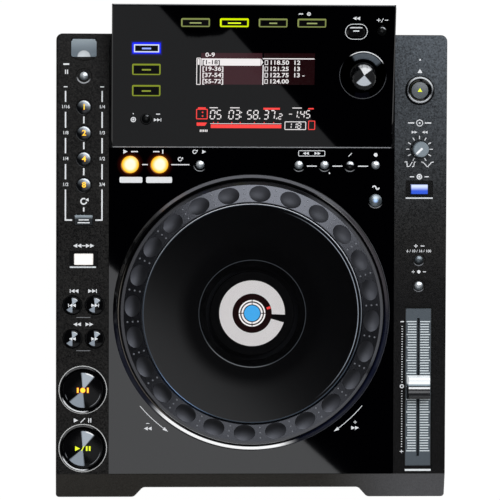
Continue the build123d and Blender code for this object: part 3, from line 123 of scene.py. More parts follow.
class PlayerColours(bpy.types.PropertyGroup):
    """Colours of the finishes, prints and lamps."""

    cabinet: colour("Cabinet", "181716", "Textured side panels and front strip")
    piano: colour("Piano black", "010102", "Gloss deck and display")
    jog: colour("Jog ring", "060608", "Dimpled turning ring")
    scale_plate: colour("Scale plate", "454f57", "Plate under the tempo fader")
    cover: colour("Port cover", "6d7880", "Brushed cover of the data port")
    print_white: colour("Print", "e6e8ea", "Printed lines and numerals")
    print_grey: colour("Grey print", "77797c", "Faint printed lines")
    amber: colour("Amber", "ffdc38", "Lit numerals and cue mark")
    lime: colour("Lime", "e2f21e", "Lit play mark")
    sky: colour("Sky blue", "3aa6ea", "Disc in the jog wheel's display")
    red: colour("Red", "ee3a36", "Red marks of the displays")
    maroon: colour("Maroon", "31151b", "Ground of the display's list")


# ---- places on the CAD model, in millimetres --------------------------------------------------------------
SURFACES = {}
RAY_START = 0.3  # metres, above all parts
SOURCE_X = -82.8
SOURCE_KEYS = {"link": 79.6, "usb": 62.7, "disc": 45.8}  # places up the display's slope
BROWSE_KEYS = {"browse": -1.5, "tag_list": -0.5, "info": 0.5, "menu": 1.5}  # columns
BROWSE_PITCH = 29.9
BROWSE_Y = 100.0


def middle(node):
    """Middle of a CAD node."""
    low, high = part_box(node)
    return tuple((a + b) / 2 / MM for a, b in zip(low, high))


def beside(node, x, y):
    """A place in the plan, measured from the middle of a CAD node."""
    centre = middle(node)
    return centre[0] + x, centre[1] + y


def surface_height(node, x, y):
    """Height of a CAD node's upper surface at a place."""
    if node not in SURFACES:
        mesh = NODES[node].data
        points = [v.co.copy() for v in mesh.vertices]
        SURFACES[node] = BVHTree.FromPolygons(points, [tuple(p.vertices) for p in mesh.polygons])
    hit = SURFACES[node].ray_cast(Vector((x * MM, y * MM, RAY_START)), Vector((0, 0, -1)))[0]
    if hit is None:
        raise RuntimeError(f"a mark lies outside {node} at {x:.1f}, {y:.1f}")
    return hit.z / MM


def up_slope(x, along):
    """A place on the display's window, given along its slope, seen from above."""
    sizes = bpy.context.scene.player_sizes
    run, rise = sizes.slope_run, sizes.slope_rise
    return x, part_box("display_housing")[0].y / MM + along * run / math.hypot(run, rise)


def on_cap(x, along):
    """A place on the top of a display key, which stands a little in front of its foot."""
    x, y = up_slope(x, along)
    return x, y - 0.3


def browse_x(name):
    """Middle of a key in the row above the display's window."""
    return BROWSE_KEYS[name] * BROWSE_PITCH - 0.4


# ---- shader helpers ---------------------------------------------------------------------------------------
def add_node(tree, kind, values=None, **settings):
    """Adds a node, sets its properties, and sets or links its inputs. Returns its outputs."""
    item = tree.nodes.new(kind if kind.startswith("Node") else "ShaderNode" + kind)
    for key, value in settings.items():
        setattr(item, key, value)
    for slot, value in (values or {}).items():
        if isinstance(value, bpy.types.NodeSocket):
            tree.links.new(value, item.inputs[slot])
        else:
            item.inputs[slot].default_value = value
    return item.outputs


def maths(tree, operation, first, second=0.0, third=0.0):
    return add_node(tree, "Math", {0: first, 1: second, 2: third}, operation=operation)[0]


def ramp(tree, value, low, high, to_low=0.0, to_high=1.0):
    values = {0: value, 1: low, 2: high, 3: to_low, 4: to_high}
    return add_node(tree, "MapRange", values, interpolation_type="SMOOTHSTEP")[0]


def blend_colours(tree, mask, first, second, how="MIX"):
    return add_node(tree, "Mix", {0: mask, 6: first, 7: second}, data_type="RGBA", blend_type=how)[2]


def offset_from(tree, centre):
    """Object coordinates measured from a centre."""
    place = add_node(tree, "TexCoord")["Object"]
    return add_node(tree, "VectorMath", {0: place, 1: centre}, operation="SUBTRACT")[0]


def offset_parts(tree, centre):
    """The x and y of offset_from."""
    x, y, _ = add_node(tree, "SeparateXYZ", {0: offset_from(tree, centre)})
    return x, y


def distance(tree, x, y):
    return maths(tree, "SQRT", maths(tree, "MULTIPLY_ADD", x, x, maths(tree, "MULTIPLY", y, y)))


def within(tree, value, edge, softness):
    """1 below an edge and 0 above it."""
    low, high = (maths(tree, operation, edge, softness) for operation in ("SUBTRACT", "ADD"))
    return ramp(tree, value, low, high, 1.0, 0.0)


# Each maker of a node group takes its tree and its input sockets, and returns its outputs by name.
def fine_texture(tree, given):
    do = partial(maths, tree)
    place = add_node(tree, "TexCoord")["Object"]
    spread = add_node(tree, "VectorMath", {0: place, 1: given["Stretch"]}, operation="MULTIPLY")[0]
    grain = add_node(tree, "TexNoise", {"Vector": spread, "Scale": given["Scale"], "Detail": 3.0})[0]
    wide = add_node(tree, "TexNoise", {"Vector": place, "Scale": 22.0, "Detail": 2.0})[0]
    both = do("ADD", do("MULTIPLY", do("SUBTRACT", grain, 0.5), 2.4),
              do("MULTIPLY", do("SUBTRACT", wide, 0.5), 0.6))
    factor = do("MAXIMUM", do("MULTIPLY_ADD", both, given["Change"], 1.0), 0.0)
    grey = add_node(tree, "CombineXYZ", {0: factor, 1: factor, 2: factor})[0]
    return {"Colour": blend_colours(tree, 1.0, given["Colour"], grey, "MULTIPLY"),
            "Rough": do("MULTIPLY_ADD", both, given["Rough change"], given["Rough"]), "Height": grain}


def disc_mask(tree, given):
    away = distance(tree, *offset_parts(tree, given["Centre"]))
    return {"Mask": within(tree, away, given["Radius"], given["Softness"])}


def wedge_mask(tree, given):
    x, y = offset_parts(tree, given["Centre"])
    angle = maths(tree, "SUBTRACT", maths(tree, "ARCTAN2", y, x), given["Direction"])
    turn = maths(tree, "ABSOLUTE", maths(tree, "WRAP", angle, math.pi, -math.pi))
    return {"Mask": within(tree, turn, given["Half angle"], given["Softness"])}


def box_mask(tree, given):
    do = partial(maths, tree)
    x, y = offset_parts(tree, given["Centre"])
    edge = do("MAXIMUM", do("SUBTRACT", do("ABSOLUTE", x), given["Half width"]),
              do("SUBTRACT", do("ABSOLUTE", y), given["Half depth"]))
    return {"Mask": ramp(tree, edge, do("MULTIPLY", given["Softness"], -1.0), given["Softness"], 1.0, 0.0)}


def turned_grooves(tree, given):
    away = distance(tree, *offset_parts(tree, given["Centre"]))
    turns = maths(tree, "MULTIPLY", maths(tree, "DIVIDE", away, given["Pitch"]), 2 * math.pi)
    return {"Height": maths(tree, "SINE", turns)}


def dimple_mask(tree, given):
    """Hollows and dots spaced evenly round a wheel, with the place across each hollow."""
    do = partial(maths, tree)
    x, y = offset_parts(tree, given["Centre"])
    beside_middle = do("SUBTRACT", distance(tree, x, y), given["Radius"])
    angle = do("SUBTRACT", do("ARCTAN2", y, x), given["Start"])
    half_step, back_step = (do("MULTIPLY", given["Step"], share) for share in (0.5, -0.5))
    along = do("MULTIPLY", do("WRAP", angle, half_step, back_step), given["Radius"])
    outward = do("DIVIDE", beside_middle, given["Half width"])
    reach = distance(tree, do("DIVIDE", along, given["Half length"]), outward)
    between = do("WRAP", do("ADD", angle, half_step), half_step, back_step)
    half_pitch = do("MULTIPLY", given["Dot pitch"], 0.5)
    row = do("WRAP", beside_middle, half_pitch, do("MULTIPLY", half_pitch, -1.0))
    from_dot = distance(tree, do("MULTIPLY", between, given["Radius"]), row)
    from_dot = do("DIVIDE", from_dot, given["Dot radius"])
    row_end = do("LESS_THAN", do("ABSOLUTE", beside_middle), do("MULTIPLY", given["Dot pitch"], 1.4))
    return {"Inside": ramp(tree, reach, 0.92, 1.04, 1.0, 0.0), "Outward": outward,
            "Dots": do("MULTIPLY", ramp(tree, from_dot, 0.8, 1.1, 1.0, 0.0), row_end)}


CENTRE = {"Centre": (0, 0, 0)}
GROUPS = (
    (fine_texture, {"Colour": (0.1, 0.1, 0.1, 1), "Scale": 400.0, "Stretch": (1, 1, 1), "Change": 0.2,
                    "Rough": 0.4, "Rough change": 0.05}),
    (dimple_mask, {**CENTRE, "Radius": 0.09, "Start": 0.0, "Step": 0.26, "Half length": 0.008,
                   "Half width": 0.006, "Dot radius": 0.0007, "Dot pitch": 0.004}),
    (disc_mask, {**CENTRE, "Radius": 0.01, "Softness": 0.0002}),
    (wedge_mask, {**CENTRE, "Direction": 0.0, "Half angle": 0.3, "Softness": 0.05}),
    (box_mask, {**CENTRE, "Half width": 0.01, "Half depth": 0.01, "Softness": 0.0002}),
    (turned_grooves, {**CENTRE, "Pitch": 0.0006}),
)


def build_groups():
    """Makes the node groups, each named after its maker, with inputs of the kinds of their defaults."""
    for make, inputs in GROUPS:
        tree = bpy.data.node_groups.new(make.__name__, "ShaderNodeTree")
        add_socket = tree.interface.new_socket
        for label, value in inputs.items():
            kind = "Float" if isinstance(value, float) else {3: "Vector", 4: "Color"}[len(value)]
            socket = add_socket(name=label, in_out="INPUT", socket_type="NodeSocket" + kind)
            socket.default_value = value
        made = make(tree, add_node(tree, "NodeGroupInput"))
        for label in made:
            kind = "Color" if label == "Colour" else "Float"
            add_socket(name=label, in_out="OUTPUT", socket_type="NodeSocket" + kind)
        add_node(tree, "NodeGroupOutput", made)


COAT_ROUGH = 0.1


class Finish:
    """One procedural finish: a textured surface to which coloured, plated or lit places are added.

    A colour is six hexadecimal digits, or is in linear light. A centre is a CAD node's name or a point.
    Sizes are in millimetres and angles in degrees. A mask is a socket, 1 inside and 0 outside."""

    def __init__(self, name, colour, rough, metal=0.0, scale=400.0, change=0.15, rough_change=0.04,
                 stretch=(1, 1, 1), bump=0.1, depth=0.02, specular=0.5):
        self.material = bpy.data.materials.new(name)
        self.material.use_nodes = True
        self.tree = self.material.node_tree
        self.inputs = self.tree.nodes["Principled BSDF"].inputs
        own = {"Metallic": metal, "Specular IOR Level": specular, "Coat Roughness": COAT_ROUGH}
        for key, value in own.items():
            self.inputs[key].default_value = value
        base, roughness, self.height = self.group("fine_texture", {
            "Colour": (*linear(colour), 1), "Scale": scale, "Stretch": stretch, "Change": change,
            "Rough": rough, "Rough change": rough_change,
        })
        self.drawn = {"Base Color": base, "Roughness": roughness}
        self.bump, self.depth = bump, depth

    def group(self, name, values):
        if "Centre" in values:
            values["Centre"] = self.place(values["Centre"])
        return add_node(self.tree, "Group", values, node_tree=bpy.data.node_groups[name])

    @staticmethod
    def place(centre):
        """A centre in the plan, in metres."""
        x, y, *_ = middle(centre) if isinstance(centre, str) else centre
        return x * MM, y * MM, 0

    def disc(self, centre, radius, soft=0.15):
        return self.group("disc_mask", {"Centre": centre, "Radius": radius * MM, "Softness": soft * MM})[0]

    def ring(self, centre, inner, outer, soft=0.15):
        return maths(self.tree, "SUBTRACT", self.disc(centre, outer, soft), self.disc(centre, inner, soft))

    def wedge(self, centre, direction, half, soft):
        angles = {"Direction": direction, "Half angle": half, "Softness": soft}
        angles = {key: math.radians(value) for key, value in angles.items()}
        return self.group("wedge_mask", {"Centre": centre, **angles})[0]

    def box(self, centre, half_width, half_depth, soft=0.15):
        sizes = {"Half width": half_width * MM, "Half depth": half_depth * MM, "Softness": soft * MM}
        return self.group("box_mask", {"Centre": centre, **sizes})[0]

    def dimples(self, centre, sizes):
        """Masks of the jog wheel's hollows, the place across them and the dots between them."""
        return self.group("dimple_mask", {
            "Centre": centre, "Radius": sizes.dimple_radius, "Start": math.pi / 2 - sizes.dimple_start,
            "Step": 2 * math.pi / sizes.dimples, "Half length": sizes.dimple_length / 2,
            "Half width": sizes.dimple_width / 2, "Dot radius": sizes.dot_radius,
            "Dot pitch": sizes.dot_pitch,
        })

    def rise(self, axis, low, high, node=None):
        """A mask that grows from one place to another along an axis, measured from a node's middle if one
        is named."""
        number = "XYZ".index(axis)
        start = middle(node)[number] if node else 0
        place = add_node(self.tree, "TexCoord")["Object"]
        part = add_node(self.tree, "SeparateXYZ", {0: place})[number]
        return ramp(self.tree, part, (start + low) * MM, (start + high) * MM)

    def lean(self, centre, direction, low, high):
        """A mask that grows across a place in a direction between two distances."""
        angle = math.radians(direction)
        values = {0: offset_from(self.tree, self.place(centre)), 1: (math.cos(angle), math.sin(angle), 0)}
        reach = add_node(self.tree, "VectorMath", values, operation="DOT_PRODUCT")["Value"]
        return ramp(self.tree, reach, low * MM, high * MM)

    def both(self, first, second):
        return maths(self.tree, "MULTIPLY", first, second)

    def outside(self, mask):
        return maths(self.tree, "SUBTRACT", 1.0, mask)

    def colour_in(self, name, mask, colour):
        own = self.drawn.get(name, (0, 0, 0, 1))
        self.drawn[name] = blend_colours(self.tree, mask, own, colour)
        return self

    def tint(self, mask, colour):
        return self.colour_in("Base Color", mask, (*linear(colour), 1))

    def light(self, mask, colour):
        return self.colour_in("Emission Color", mask, (*linear(colour), 1))

    def overlay(self, mask, colour, scale, change):
        """A tint that keeps a grain of its own."""
        values = {"Colour": (*linear(colour), 1), "Scale": scale, "Change": change}
        return self.colour_in("Base Color", mask, self.group("fine_texture", values)[0])

    def mix(self, name, mask, value):
        own = self.drawn.get(name, self.inputs[name].default_value)
        self.drawn[name] = add_node(self.tree, "Mix", {0: mask, 2: own, 3: value})[0]
        return self

    def smooth(self, mask, rough):
        return self.mix("Roughness", mask, rough)

    def plate(self, mask, metal=1.0):
        return self.mix("Metallic", mask, metal)

    def gleam(self, centre, inner, outer, direction, half, colour, fade=10.0, edge=0.12, rough=0.3,
              metal=None):
        """Painted reflection as a crescent on a rounded edge, pale or dark: from one radius to another, round
        a direction.
        """
        mask = self.both(self.ring(centre, inner, outer, edge), self.wedge(centre, direction, half, fade))
        if metal is not None:
            self.plate(mask, metal)
        return self.tint(mask, colour).smooth(mask, rough)

    def gleams(self, centre, *rows):
        for row in rows:
            self.gleam(centre, *row)
        return self

    def shine(self, centre, face, rough, *rows):
        """Painted highlights as pale wedges on a face turned on a lathe: rows of a direction, half an angle
        and a colour.
        """
        for direction, half, colour in rows:
            mask = self.both(face, self.wedge(centre, direction, half, 4.0))
            self.tint(mask, colour).smooth(mask, rough)
        return self

    def grooves(self, centre, pitch, bump, depth):
        self.height = self.group("turned_grooves", {"Centre": centre, "Pitch": pitch * MM})[0]
        self.bump, self.depth = bump, depth

    def done(self, strength=1.0):
        """The material, with all that was drawn linked to its surface."""
        if self.bump:
            values = {"Strength": self.bump, "Distance": self.depth * MM, "Height": self.height}
            self.drawn["Normal"] = add_node(self.tree, "Bump", values)[0]
        if "Emission Color" in self.drawn:
            self.inputs["Emission Strength"].default_value = strength
        for name, socket in self.drawn.items():
            self.tree.links.new(socket, self.inputs[name])
        return self.material

    def dress(self, node, strength=1.0):
        """Gives the material to a CAD node."""
        NODES[node].data.materials[0] = self.done(strength)


# ---- flat outlines, in millimetres ------------------------------------------------------------------------
def bar(x0, y0, x1, y1):
    return [(x0, y0), (x1, y0), (x1, y1), (x0, y1)]


def bar_at(x, y, width, depth):
    return bar(x - width / 2, y - depth / 2, x + width / 2, y + depth / 2)


def arc(x, y, radius, start, end, steps=24):
    steps = int(steps)
    angles = [math.radians(start + (end - start) * i / steps) for i in range(steps + 1)]
    return [(x + radius * math.cos(a), y + radius * math.sin(a)) for a in angles]


def disc(x, y, radius, steps=28):
    return arc(x, y, radius, 0, 360, steps)[:-1]


def hoop(x, y, inner, outer, steps):
    return [disc(x, y, outer, steps), disc(x, y, inner, steps)]


def sector(x, y, inner, outer, start, end, steps=24):
    return arc(x, y, outer, start, end, steps) + arc(x, y, inner, end, start, steps)


def rounded(x, y, width, depth, radius):
    points = []
    for quarter, (sx, sy) in enumerate(((1, 1), (-1, 1), (-1, -1), (1, -1))):
        cx, cy = x + sx * (width / 2 - radius), y + sy * (depth / 2 - radius)
        points += arc(cx, cy, radius, quarter * 90, quarter * 90 + 90, 5)
    return points


def rim_frame(x, y, width, depth, radius, line):
    return [
        rounded(x, y, width, depth, radius),
        rounded(x, y, width - 2 * line, depth - 2 * line, max(radius - line, 0.1)),
    ]


def stroke(points, width):
    """A line of even width through points, with mitred bends."""
    sides = ([], [])
    for i, (x, y) in enumerate(points):
        before, after = points[max(i - 1, 0)], points[min(i + 1, len(points) - 1)]
        first = Vector((x - before[0], y - before[1]))
        second = Vector((after[0] - x, after[1] - y))
        first = first.normalized() if first.length else second.normalized()
        second = second.normalized() if second.length else first
        across = Vector((-first.y - second.y, first.x + second.x)).normalized()
        reach = width / 2 / max(across.dot(Vector((-first.y, first.x))), 0.4)
        sides[0].append((x + across.x * reach, y + across.y * reach))
        sides[1].append((x - across.x * reach, y - across.y * reach))
    return sides[0] + sides[1][::-1]


def ray(x, y, angle, width, *distances):
    """A stroke that points away from a centre, through places at some distances from it."""
    way = math.cos(math.radians(angle)), math.sin(math.radians(angle))
    return stroke([(x + way[0] * r, y + way[1] * r) for r in distances], width)


def arrow(x, y, size, way=1):
    reach, points = way * size / 2, ((-1, -0.5), (1, 0), (-1, 0.5))
    return [(x + side * reach, y + up * size) for side, up in points][::int(way)]


def bend():
    """Two half circles side by side, one up and one down."""
    return stroke(arc(-0.25, 0, 0.25, 180, 0, 8) + arc(0.25, 0, 0.25, 180, 360, 8)[1:], 0.2)


def pairs(values):
    return list(zip(values[::2], values[1::2]))


SHAPES = {
    "bar": bar, "block": bar_at, "disc": disc, "arrow": arrow, "sector": sector, "bend": bend,
    "line": lambda width, *values: stroke(pairs(values), width), "loop_of": lambda *values: pairs(values),
}
DOUBLE_SHAPES = {"hoop": hoop, "frame": rim_frame}

# Small generic pictograms of size 1
PICTURES = {
    "play": "arrow 0 0 1",
    "pause": "block -.2 0 .24 1, block .28 0 .24 1",
    "next": "arrow -.5 0 1, arrow .5 0 1, block 1.14 0 .2 1",
    "last": "arrow .5 0 1 -1, arrow -.5 0 1 -1, block -1.14 0 .2 1",
    "forward": "arrow -.5 0 1, arrow .5 0 1",
    "back": "arrow -.5 0 1 -1, arrow .5 0 1 -1",
    "loop": "sector 0 0 .3 .5 60 350, arrow .45 .225 .5 -1",
    "cross": "line .2 -.4 -.4 .4 .4",
    "plus": "block 0 0 1 .2, block 0 .3 .2 .3, block 0 -.3 .2 .3",
    "eject": "loop_of -.5 -.3 .5 -.3 0 .5",
    "record": "disc 0 0 .5",
    "wheel": "hoop 0 0 .3 .5 24, disc 0 0 .2 12",
    "wave": "bend",
}


def drawing(rows, x=0.0, y=0.0, size=1.0):
    """Outlines from rows of text between commas, made larger and then moved. A row is the name of a shape
    and its numbers, or of a picture, its place and its size. A line's width stands before its points."""
    outlines = []
    for row in rows.split(","):
        kind, *words = row.split()
        values = [float(word) for word in words]
        if kind in SHAPES:
            outlines.append(SHAPES[kind](*values))
        elif kind in DOUBLE_SHAPES:
            outlines += DOUBLE_SHAPES[kind](*values)
        else:
            outlines += drawing(PICTURES[kind], *values)
    return [[(x + px * size, y + py * size) for px, py in outline] for outline in outlines]


DIGIT_WIDTH = 0.68  # of the pitch
DIGIT_LEAN = 0.1
SEGMENTS = {
    "0": "abcdef", "1": "bc", "2": "abged", "3": "abgcd", "4": "fgbc", "5": "afgcd", "6": "afgedc",
    "7": "abc", "8": "abcdefg", "9": "abcdfg",
}


def segment_digits(text, x, y, height, pitch, line):
    """Outlines of slanted seven-segment digits, from the lower left corner."""
    width, half, gap = pitch * DIGIT_WIDTH, height / 2, line * 0.6
    spans = {
        "a": ((gap, height), (width - gap, height)), "g": ((gap, half), (width - gap, half)),
        "d": ((gap, 0), (width - gap, 0)), "f": ((0, half + gap), (0, height - gap)),
        "e": ((0, gap), (0, half - gap)), "b": ((width, half + gap), (width, height - gap)),
        "c": ((width, gap), (width, half - gap)),
    }
    return [
        stroke([(x + i * pitch + px + py * DIGIT_LEAN, y + py) for px, py in spans[name]], line)
        for i, digit in enumerate(text) for name in SEGMENTS[digit]
    ]


# ---- marks ------------------------------------------------------------------------------------------------
SIZE_OVER_HEIGHT = 1.42  # of the numerals of Blender's own font
MERGE_GAP = 0.004


def numeral_mesh(text, height, x, y, narrow=1.0, align="CENTER", bold=0.02):
    """A text object at a place, in millimetres and still flat."""
    bpy.ops.object.select_all(action="DESELECT")
    bpy.ops.object.text_add(location=(x, y, 0))
    item = bpy.context.object
    item.data.body = text
    item.data.size = height * SIZE_OVER_HEIGHT
    item.data.align_x = align
    item.data.align_y = "CENTER"
    item.data.resolution_u = 3
    item.data.offset = height * bold
    item.scale = (narrow, 1, 1)
    return item


def outline_curve(outlines):
    """A flat curve of closed loops, in millimetres."""
    bpy.ops.object.select_all(action="DESELECT")
    bpy.ops.curve.primitive_bezier_circle_add(location=(0, 0, 0))
    item = bpy.context.object
    item.data.splines.clear()
    for outline in outlines:
        spline = item.data.splines.new("POLY")
        spline.points.add(len(outline) - 1)
        for point, (x, y) in zip(spline.points, outline):
            point.co = (x, y, 0, 1)
        spline.use_cyclic_u = True
    return item


def make_marks(name, node, material, outlines=(), numerals=(), flat=False, place=None, lift=None):
    """Thin printed or lit marks that lie on a CAD node and ride on its body.

    outlines are closed loops in millimetres, seen from above; one inside another is a hole.
    numerals are rows of numeral_mesh. place turns a drawn point into its place in the plan.
    flat puts all points at one height, the node's own at their middle or the one that is given."""
    sizes = bpy.context.scene.player_sizes
    lift = sizes.print_lift / MM if lift is None else lift
    sink = sizes.print_sink / MM
    pieces = [outline_curve(outlines)] if outlines else []
    pieces += [numeral_mesh(*row) for row in numerals]
    for item in pieces:
        item.data.dimensions = "2D"
        item.data.fill_mode = "BOTH"
        item.data.extrude = 0.5
        item.data.materials.clear()
    bpy.ops.object.select_all(action="DESELECT")
    for item in pieces:
        item.select_set(True)
    bpy.context.view_layer.objects.active = pieces[0]
    bpy.ops.object.convert(target="MESH")
    if len(pieces) > 1:
        bpy.ops.object.join()
    piece = bpy.context.object
    bpy.ops.object.transform_apply(location=True, rotation=True, scale=True)
    bpy.ops.object.mode_set(mode="EDIT")
    bpy.ops.mesh.select_all(action="SELECT")
    bpy.ops.mesh.remove_doubles(threshold=MERGE_GAP)
    bpy.ops.mesh.normals_make_consistent(inside=False)
    bpy.ops.object.mode_set(mode="OBJECT")
    if flat:
        centre = sum((v.co for v in piece.data.vertices), Vector()) / len(piece.data.vertices)
        level = surface_height(node, centre.x, centre.y) if flat is True else flat
    for vertex in piece.data.vertices:
        x, y = vertex.co.x, vertex.co.y
        x, y = place(x, y) if place else (x, y)
        ground = level if flat else surface_height(node, x, y)
        height = ground + (lift if vertex.co.z > 0 else -sink)
        vertex.co = tuple(value * MM for value in (x, y, height))
    piece.name = name
    piece.data.name = name
    piece.data.materials.clear()
    piece.data.materials.append(material)
    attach(piece, NODES[node]["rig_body"])


def ink(name, colour):
    """Printed ink, slightly uneven."""
    return Finish(name, colour, 0.45, scale=900, change=0.06, bump=0.05, depth=0.01).done()


def lamp(name, colour, rough=0.3):
    """A lit mark under clear plastic."""
    tone = linear(colour)
    finish = Finish(name, [value * 0.3 for value in tone], rough, scale=500, change=0.05, bump=0)
    values = {"Colour": (*tone, 1), "Scale": 300.0, "Change": 0.05}
    finish.drawn["Emission Color"] = finish.group("fine_texture", values)[0]
    return finish.done()


# ---- finishes of the CAD nodes ----------------------------------------------------------------------------
GRAIN = 820
MATT = {"scale": 700, "change": 0.15, "bump": 0.15, "depth": 0.04}
PIANO = {"scale": 60, "change": 0.1, "rough_change": 0.003, "bump": 0}
MOULDED = {"scale": 80, "change": 0.1, "bump": 0}
GLOSS_CAP = {"rough": 0.08, "scale": 90, "change": 0.1, "bump": 0}
STEEL = {"metal": 1.0, "scale": 300, "stretch": (1, 14, 1), "change": 0.12, "bump": 0.12, "depth": 0.02}


class Step:
    """What the steps share: each is one undo step."""

    bl_options = {"REGISTER", "UNDO"}


class PLAYER_OT_cabinet(Step, bpy.types.Operator):
    """Finishes the cabinets, panels, display wedge, trim rings and feet."""

    bl_idname = "player.cabinet"
    bl_label = "Cabinet finishes"

    def side_panels(self, colours):
        cabinet = Finish("textured_black", colours.cabinet, 0.4, scale=GRAIN, change=2.2, rough_change=0.08,
                         bump=0.6, depth=0.3, specular=0.14)
        level = surface_height("upper_cabinet", 145.0, 20.0)
        side = cabinet.both(cabinet.rise("X", 106, 110), cabinet.rise("Z", level - 1.0, level - 0.3))
        strip = cabinet.rise("Y", -173.0, -174.0)
        # The right panel's top gets a lighter bluish painted highlight towards the rear and painted shade
        # towards the front. The front strip is tinted lighter, and lighter still at its right end as a
        # painted highlight.
        for mask, colour, change in (
            (cabinet.both(side, cabinet.rise("Y", 0, 200)), "4c5258", 1.3),
            (cabinet.both(side, cabinet.rise("Y", 30, -50)), "0a090a", 1.6),
            (strip, "2e2c29", 0.4),
            (cabinet.both(strip, cabinet.rise("X", 50, 130)), "525254", 0.25),
        ):
            cabinet.overlay(mask, colour, GRAIN, change)
        # Painted shade: the recesses round the reverse and jog mode keys are tinted black.
        for node, width, depth in (("reverse_key", 22.3, 12.9), ("jog_mode_key", 21.5, 13.6)):
            cabinet.tint(cabinet.box(node, width / 2, depth / 2, 0.1), "040404")
        # Painted highlights on the rims of the dishes round the stop, beat, tempo range and master tempo
        # keys.
        cabinet.gleam("stop_key", 4.9, 5.9, 262, 62, "a9abae", 22)
        for node in BEAT_KEYS.values():
            cabinet.gleam(node, 5.5, 6.1, 232, 40, "77797c", 22)
        for node in ("tempo_range_key", "master_tempo_key"):
            cabinet.gleam(node, 4.1, 4.8, 270, 52, "808286", 20)
        # Painted shade: a black disc round each track and search key widens the dark ring round it.
        for node in TRACK_KEYS:
            cabinet.tint(cabinet.disc(node, 7.8, 0.2), "050506")
        fader_x, fader_front = middle("tempo_fader")[0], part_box("tempo_fader")[0].y / MM
        # Painted shade on the cabinet round the tempo fader's plate, in its well.
        cabinet.tint(cabinet.box((fader_x, -104.6), 11.3, 63.0, 0.4), "030303")
        # Painted highlights: white bars on the lower edges of the recesses round the reverse and jog mode
        # keys and of the tempo fader's well.
        for place, half_width, half_depth in (
            (beside("reverse_key", -0.6, -6.2), 10.2, 0.55), (beside("jog_mode_key", 0, -6.9), 10.6, 0.5),
            ((fader_x, fader_front - 0.4), 10.2, 0.75),
        ):
            cabinet.tint(cabinet.box(place, half_width, half_depth), "e4e8ea")
        cabinet.dress("upper_cabinet")

    def deck(self, colours):
        deck = Finish("piano_deck", colours.piano, 0.02, **PIANO)
        # Painted light on the deck: a dark red glow round each loop key, as a painted reflection of the key's
        # light, and painted highlights on the rims round the loop, reloop, call, delete and slip keys.
        for node in LOOP_KEYS:
            deck.light(deck.ring(node, 7.0, 9.0, 2.2), "2a0602")
            deck.gleam(node, 6.9, 7.4, 212, 34, "a08478", 20)
        deck.gleam("reloop_key", 4.6, 5.3, 252, 50, "8a8d90", 24)
        for node in ("call_back_key", "call_forward_key", "delete_key"):
            deck.gleam(node, 4.6, 5.2, 268, 40, "85888b", 20)
        deck.gleam("slip_key", 5.5, 6.2, 268, 48, "8c8f92", 22).dress("deck_panel")

    def display(self, colours):
        Finish("gloss_housing", "0b0b0c", 0.12, **MOULDED).dress("display_housing")
        window = Finish("piano_window", colours.piano, 0.015, **PIANO)
        front, rear = (corner.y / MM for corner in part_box("display_window"))
        # Painted highlights on the window's front and rear bevels.
        window.tint(window.rise("Y", front + 0.8, front + 0.5), "b4b6ba")
        window.tint(window.rise("Y", rear - 1.3, rear - 0.9), "303236")
        well = up_slope(middle("selector_knob")[0], 58.8)
        # Round the selector knob the window is a black metal, which reflects nothing, so the well stays dark:
        # painted shade. The gleams are painted highlights round the well.
        window.plate(window.disc(well, 18.0, 0.4))
        window.gleams(well, (12.6, 17.0, 78, 43, "565e66", 6, 0.5, 0.4, 0.0),
                      (17.6, 18.3, 78, 45, "f0f2f4", 6, 0.12, 0.3, 0.0),
                      (17.9, 18.3, 255, 100, "505256", 12, 0.12, 0.3, 0.0))
        # Painted light: the window glows blue round the lit link key.
        window.light(window.box(up_slope(SOURCE_X, SOURCE_KEYS["link"]), 11.2, 4.6, 1.3), "0c0c90")
        window.dress("display_window")

    def trim(self):
        trim = Finish("gloss_trim", "060607", 0.07, **MOULDED)
        # Painted light on the jog wheel's bezel: pale painted highlights and dark blue painted reflections;
        # the brightest crescent, near the front, also glows.
        trim.gleams(
            "jog_ring", (105.4, 107.6, 86, 45, "68696e", 5, 0.3), (104.6, 107.2, 24, 26, "3a373b", 8, 0.3),
            (103.6, 108.3, -35, 34, "0a0f24", 14, 0.3), (103.6, 108.3, 212, 24, "0a0f24", 14, 0.3),
            (107.7, 108.3, -30, 62, "5c5e63", 10), (103.7, 104.4, 200, 34, "87827a", 10),
            (104.7, 107.2, 256, 30, "fbfcfd", 5, 0.3, 0.2),
        )
        bright = trim.both(trim.ring("jog_ring", 104.9, 107.0, 0.3), trim.wedge("jog_ring", 256, 28, 5))
        trim.light(bright, "a8a8a8")
        for node in ("cue_key", "play_key"):
            # A pale ring round each of the cue and play keys, and a painted highlight on its lower left.
            trim.tint(trim.ring(node, 18.3, 19.2, 0.12), "d4d5d4")
            trim.gleam(node, 16.6, 17.6, 243, 36, "f6f8fa", 8, 0.2)
        # Painted highlights on the eject key's ring: a thin pale ring all round, and crescents at the rear
        # and the front.
        trim.tint(trim.ring("eject_key", 9.3, 9.8, 0.15), "6c7074")
        trim.gleams("eject_key", (9.5, 10.6, 76, 60, "e4e8ea", 26, 0.25),
                    (8.6, 9.2, 268, 60, "b4b8bc", 18, 0.2)).dress("trim_rings")

    def execute(self, context):
        colours = context.scene.player_colours
        self.side_panels(colours)
        for node, name, code, rough, scale, bump, depth in (
            ("bottom_case", "powder_coat", "222220", 0.5, 1900, 0.4, 0.08),
            ("rubber_feet", "foot_rubber", "161616", 0.75, 900, 0.3, 0.05),
        ):
            Finish(name, code, rough, scale=scale, change=0.2, bump=bump, depth=depth).dress(node)
        self.deck(colours)
        self.display(colours)
        self.trim()
        return {"FINISHED"}


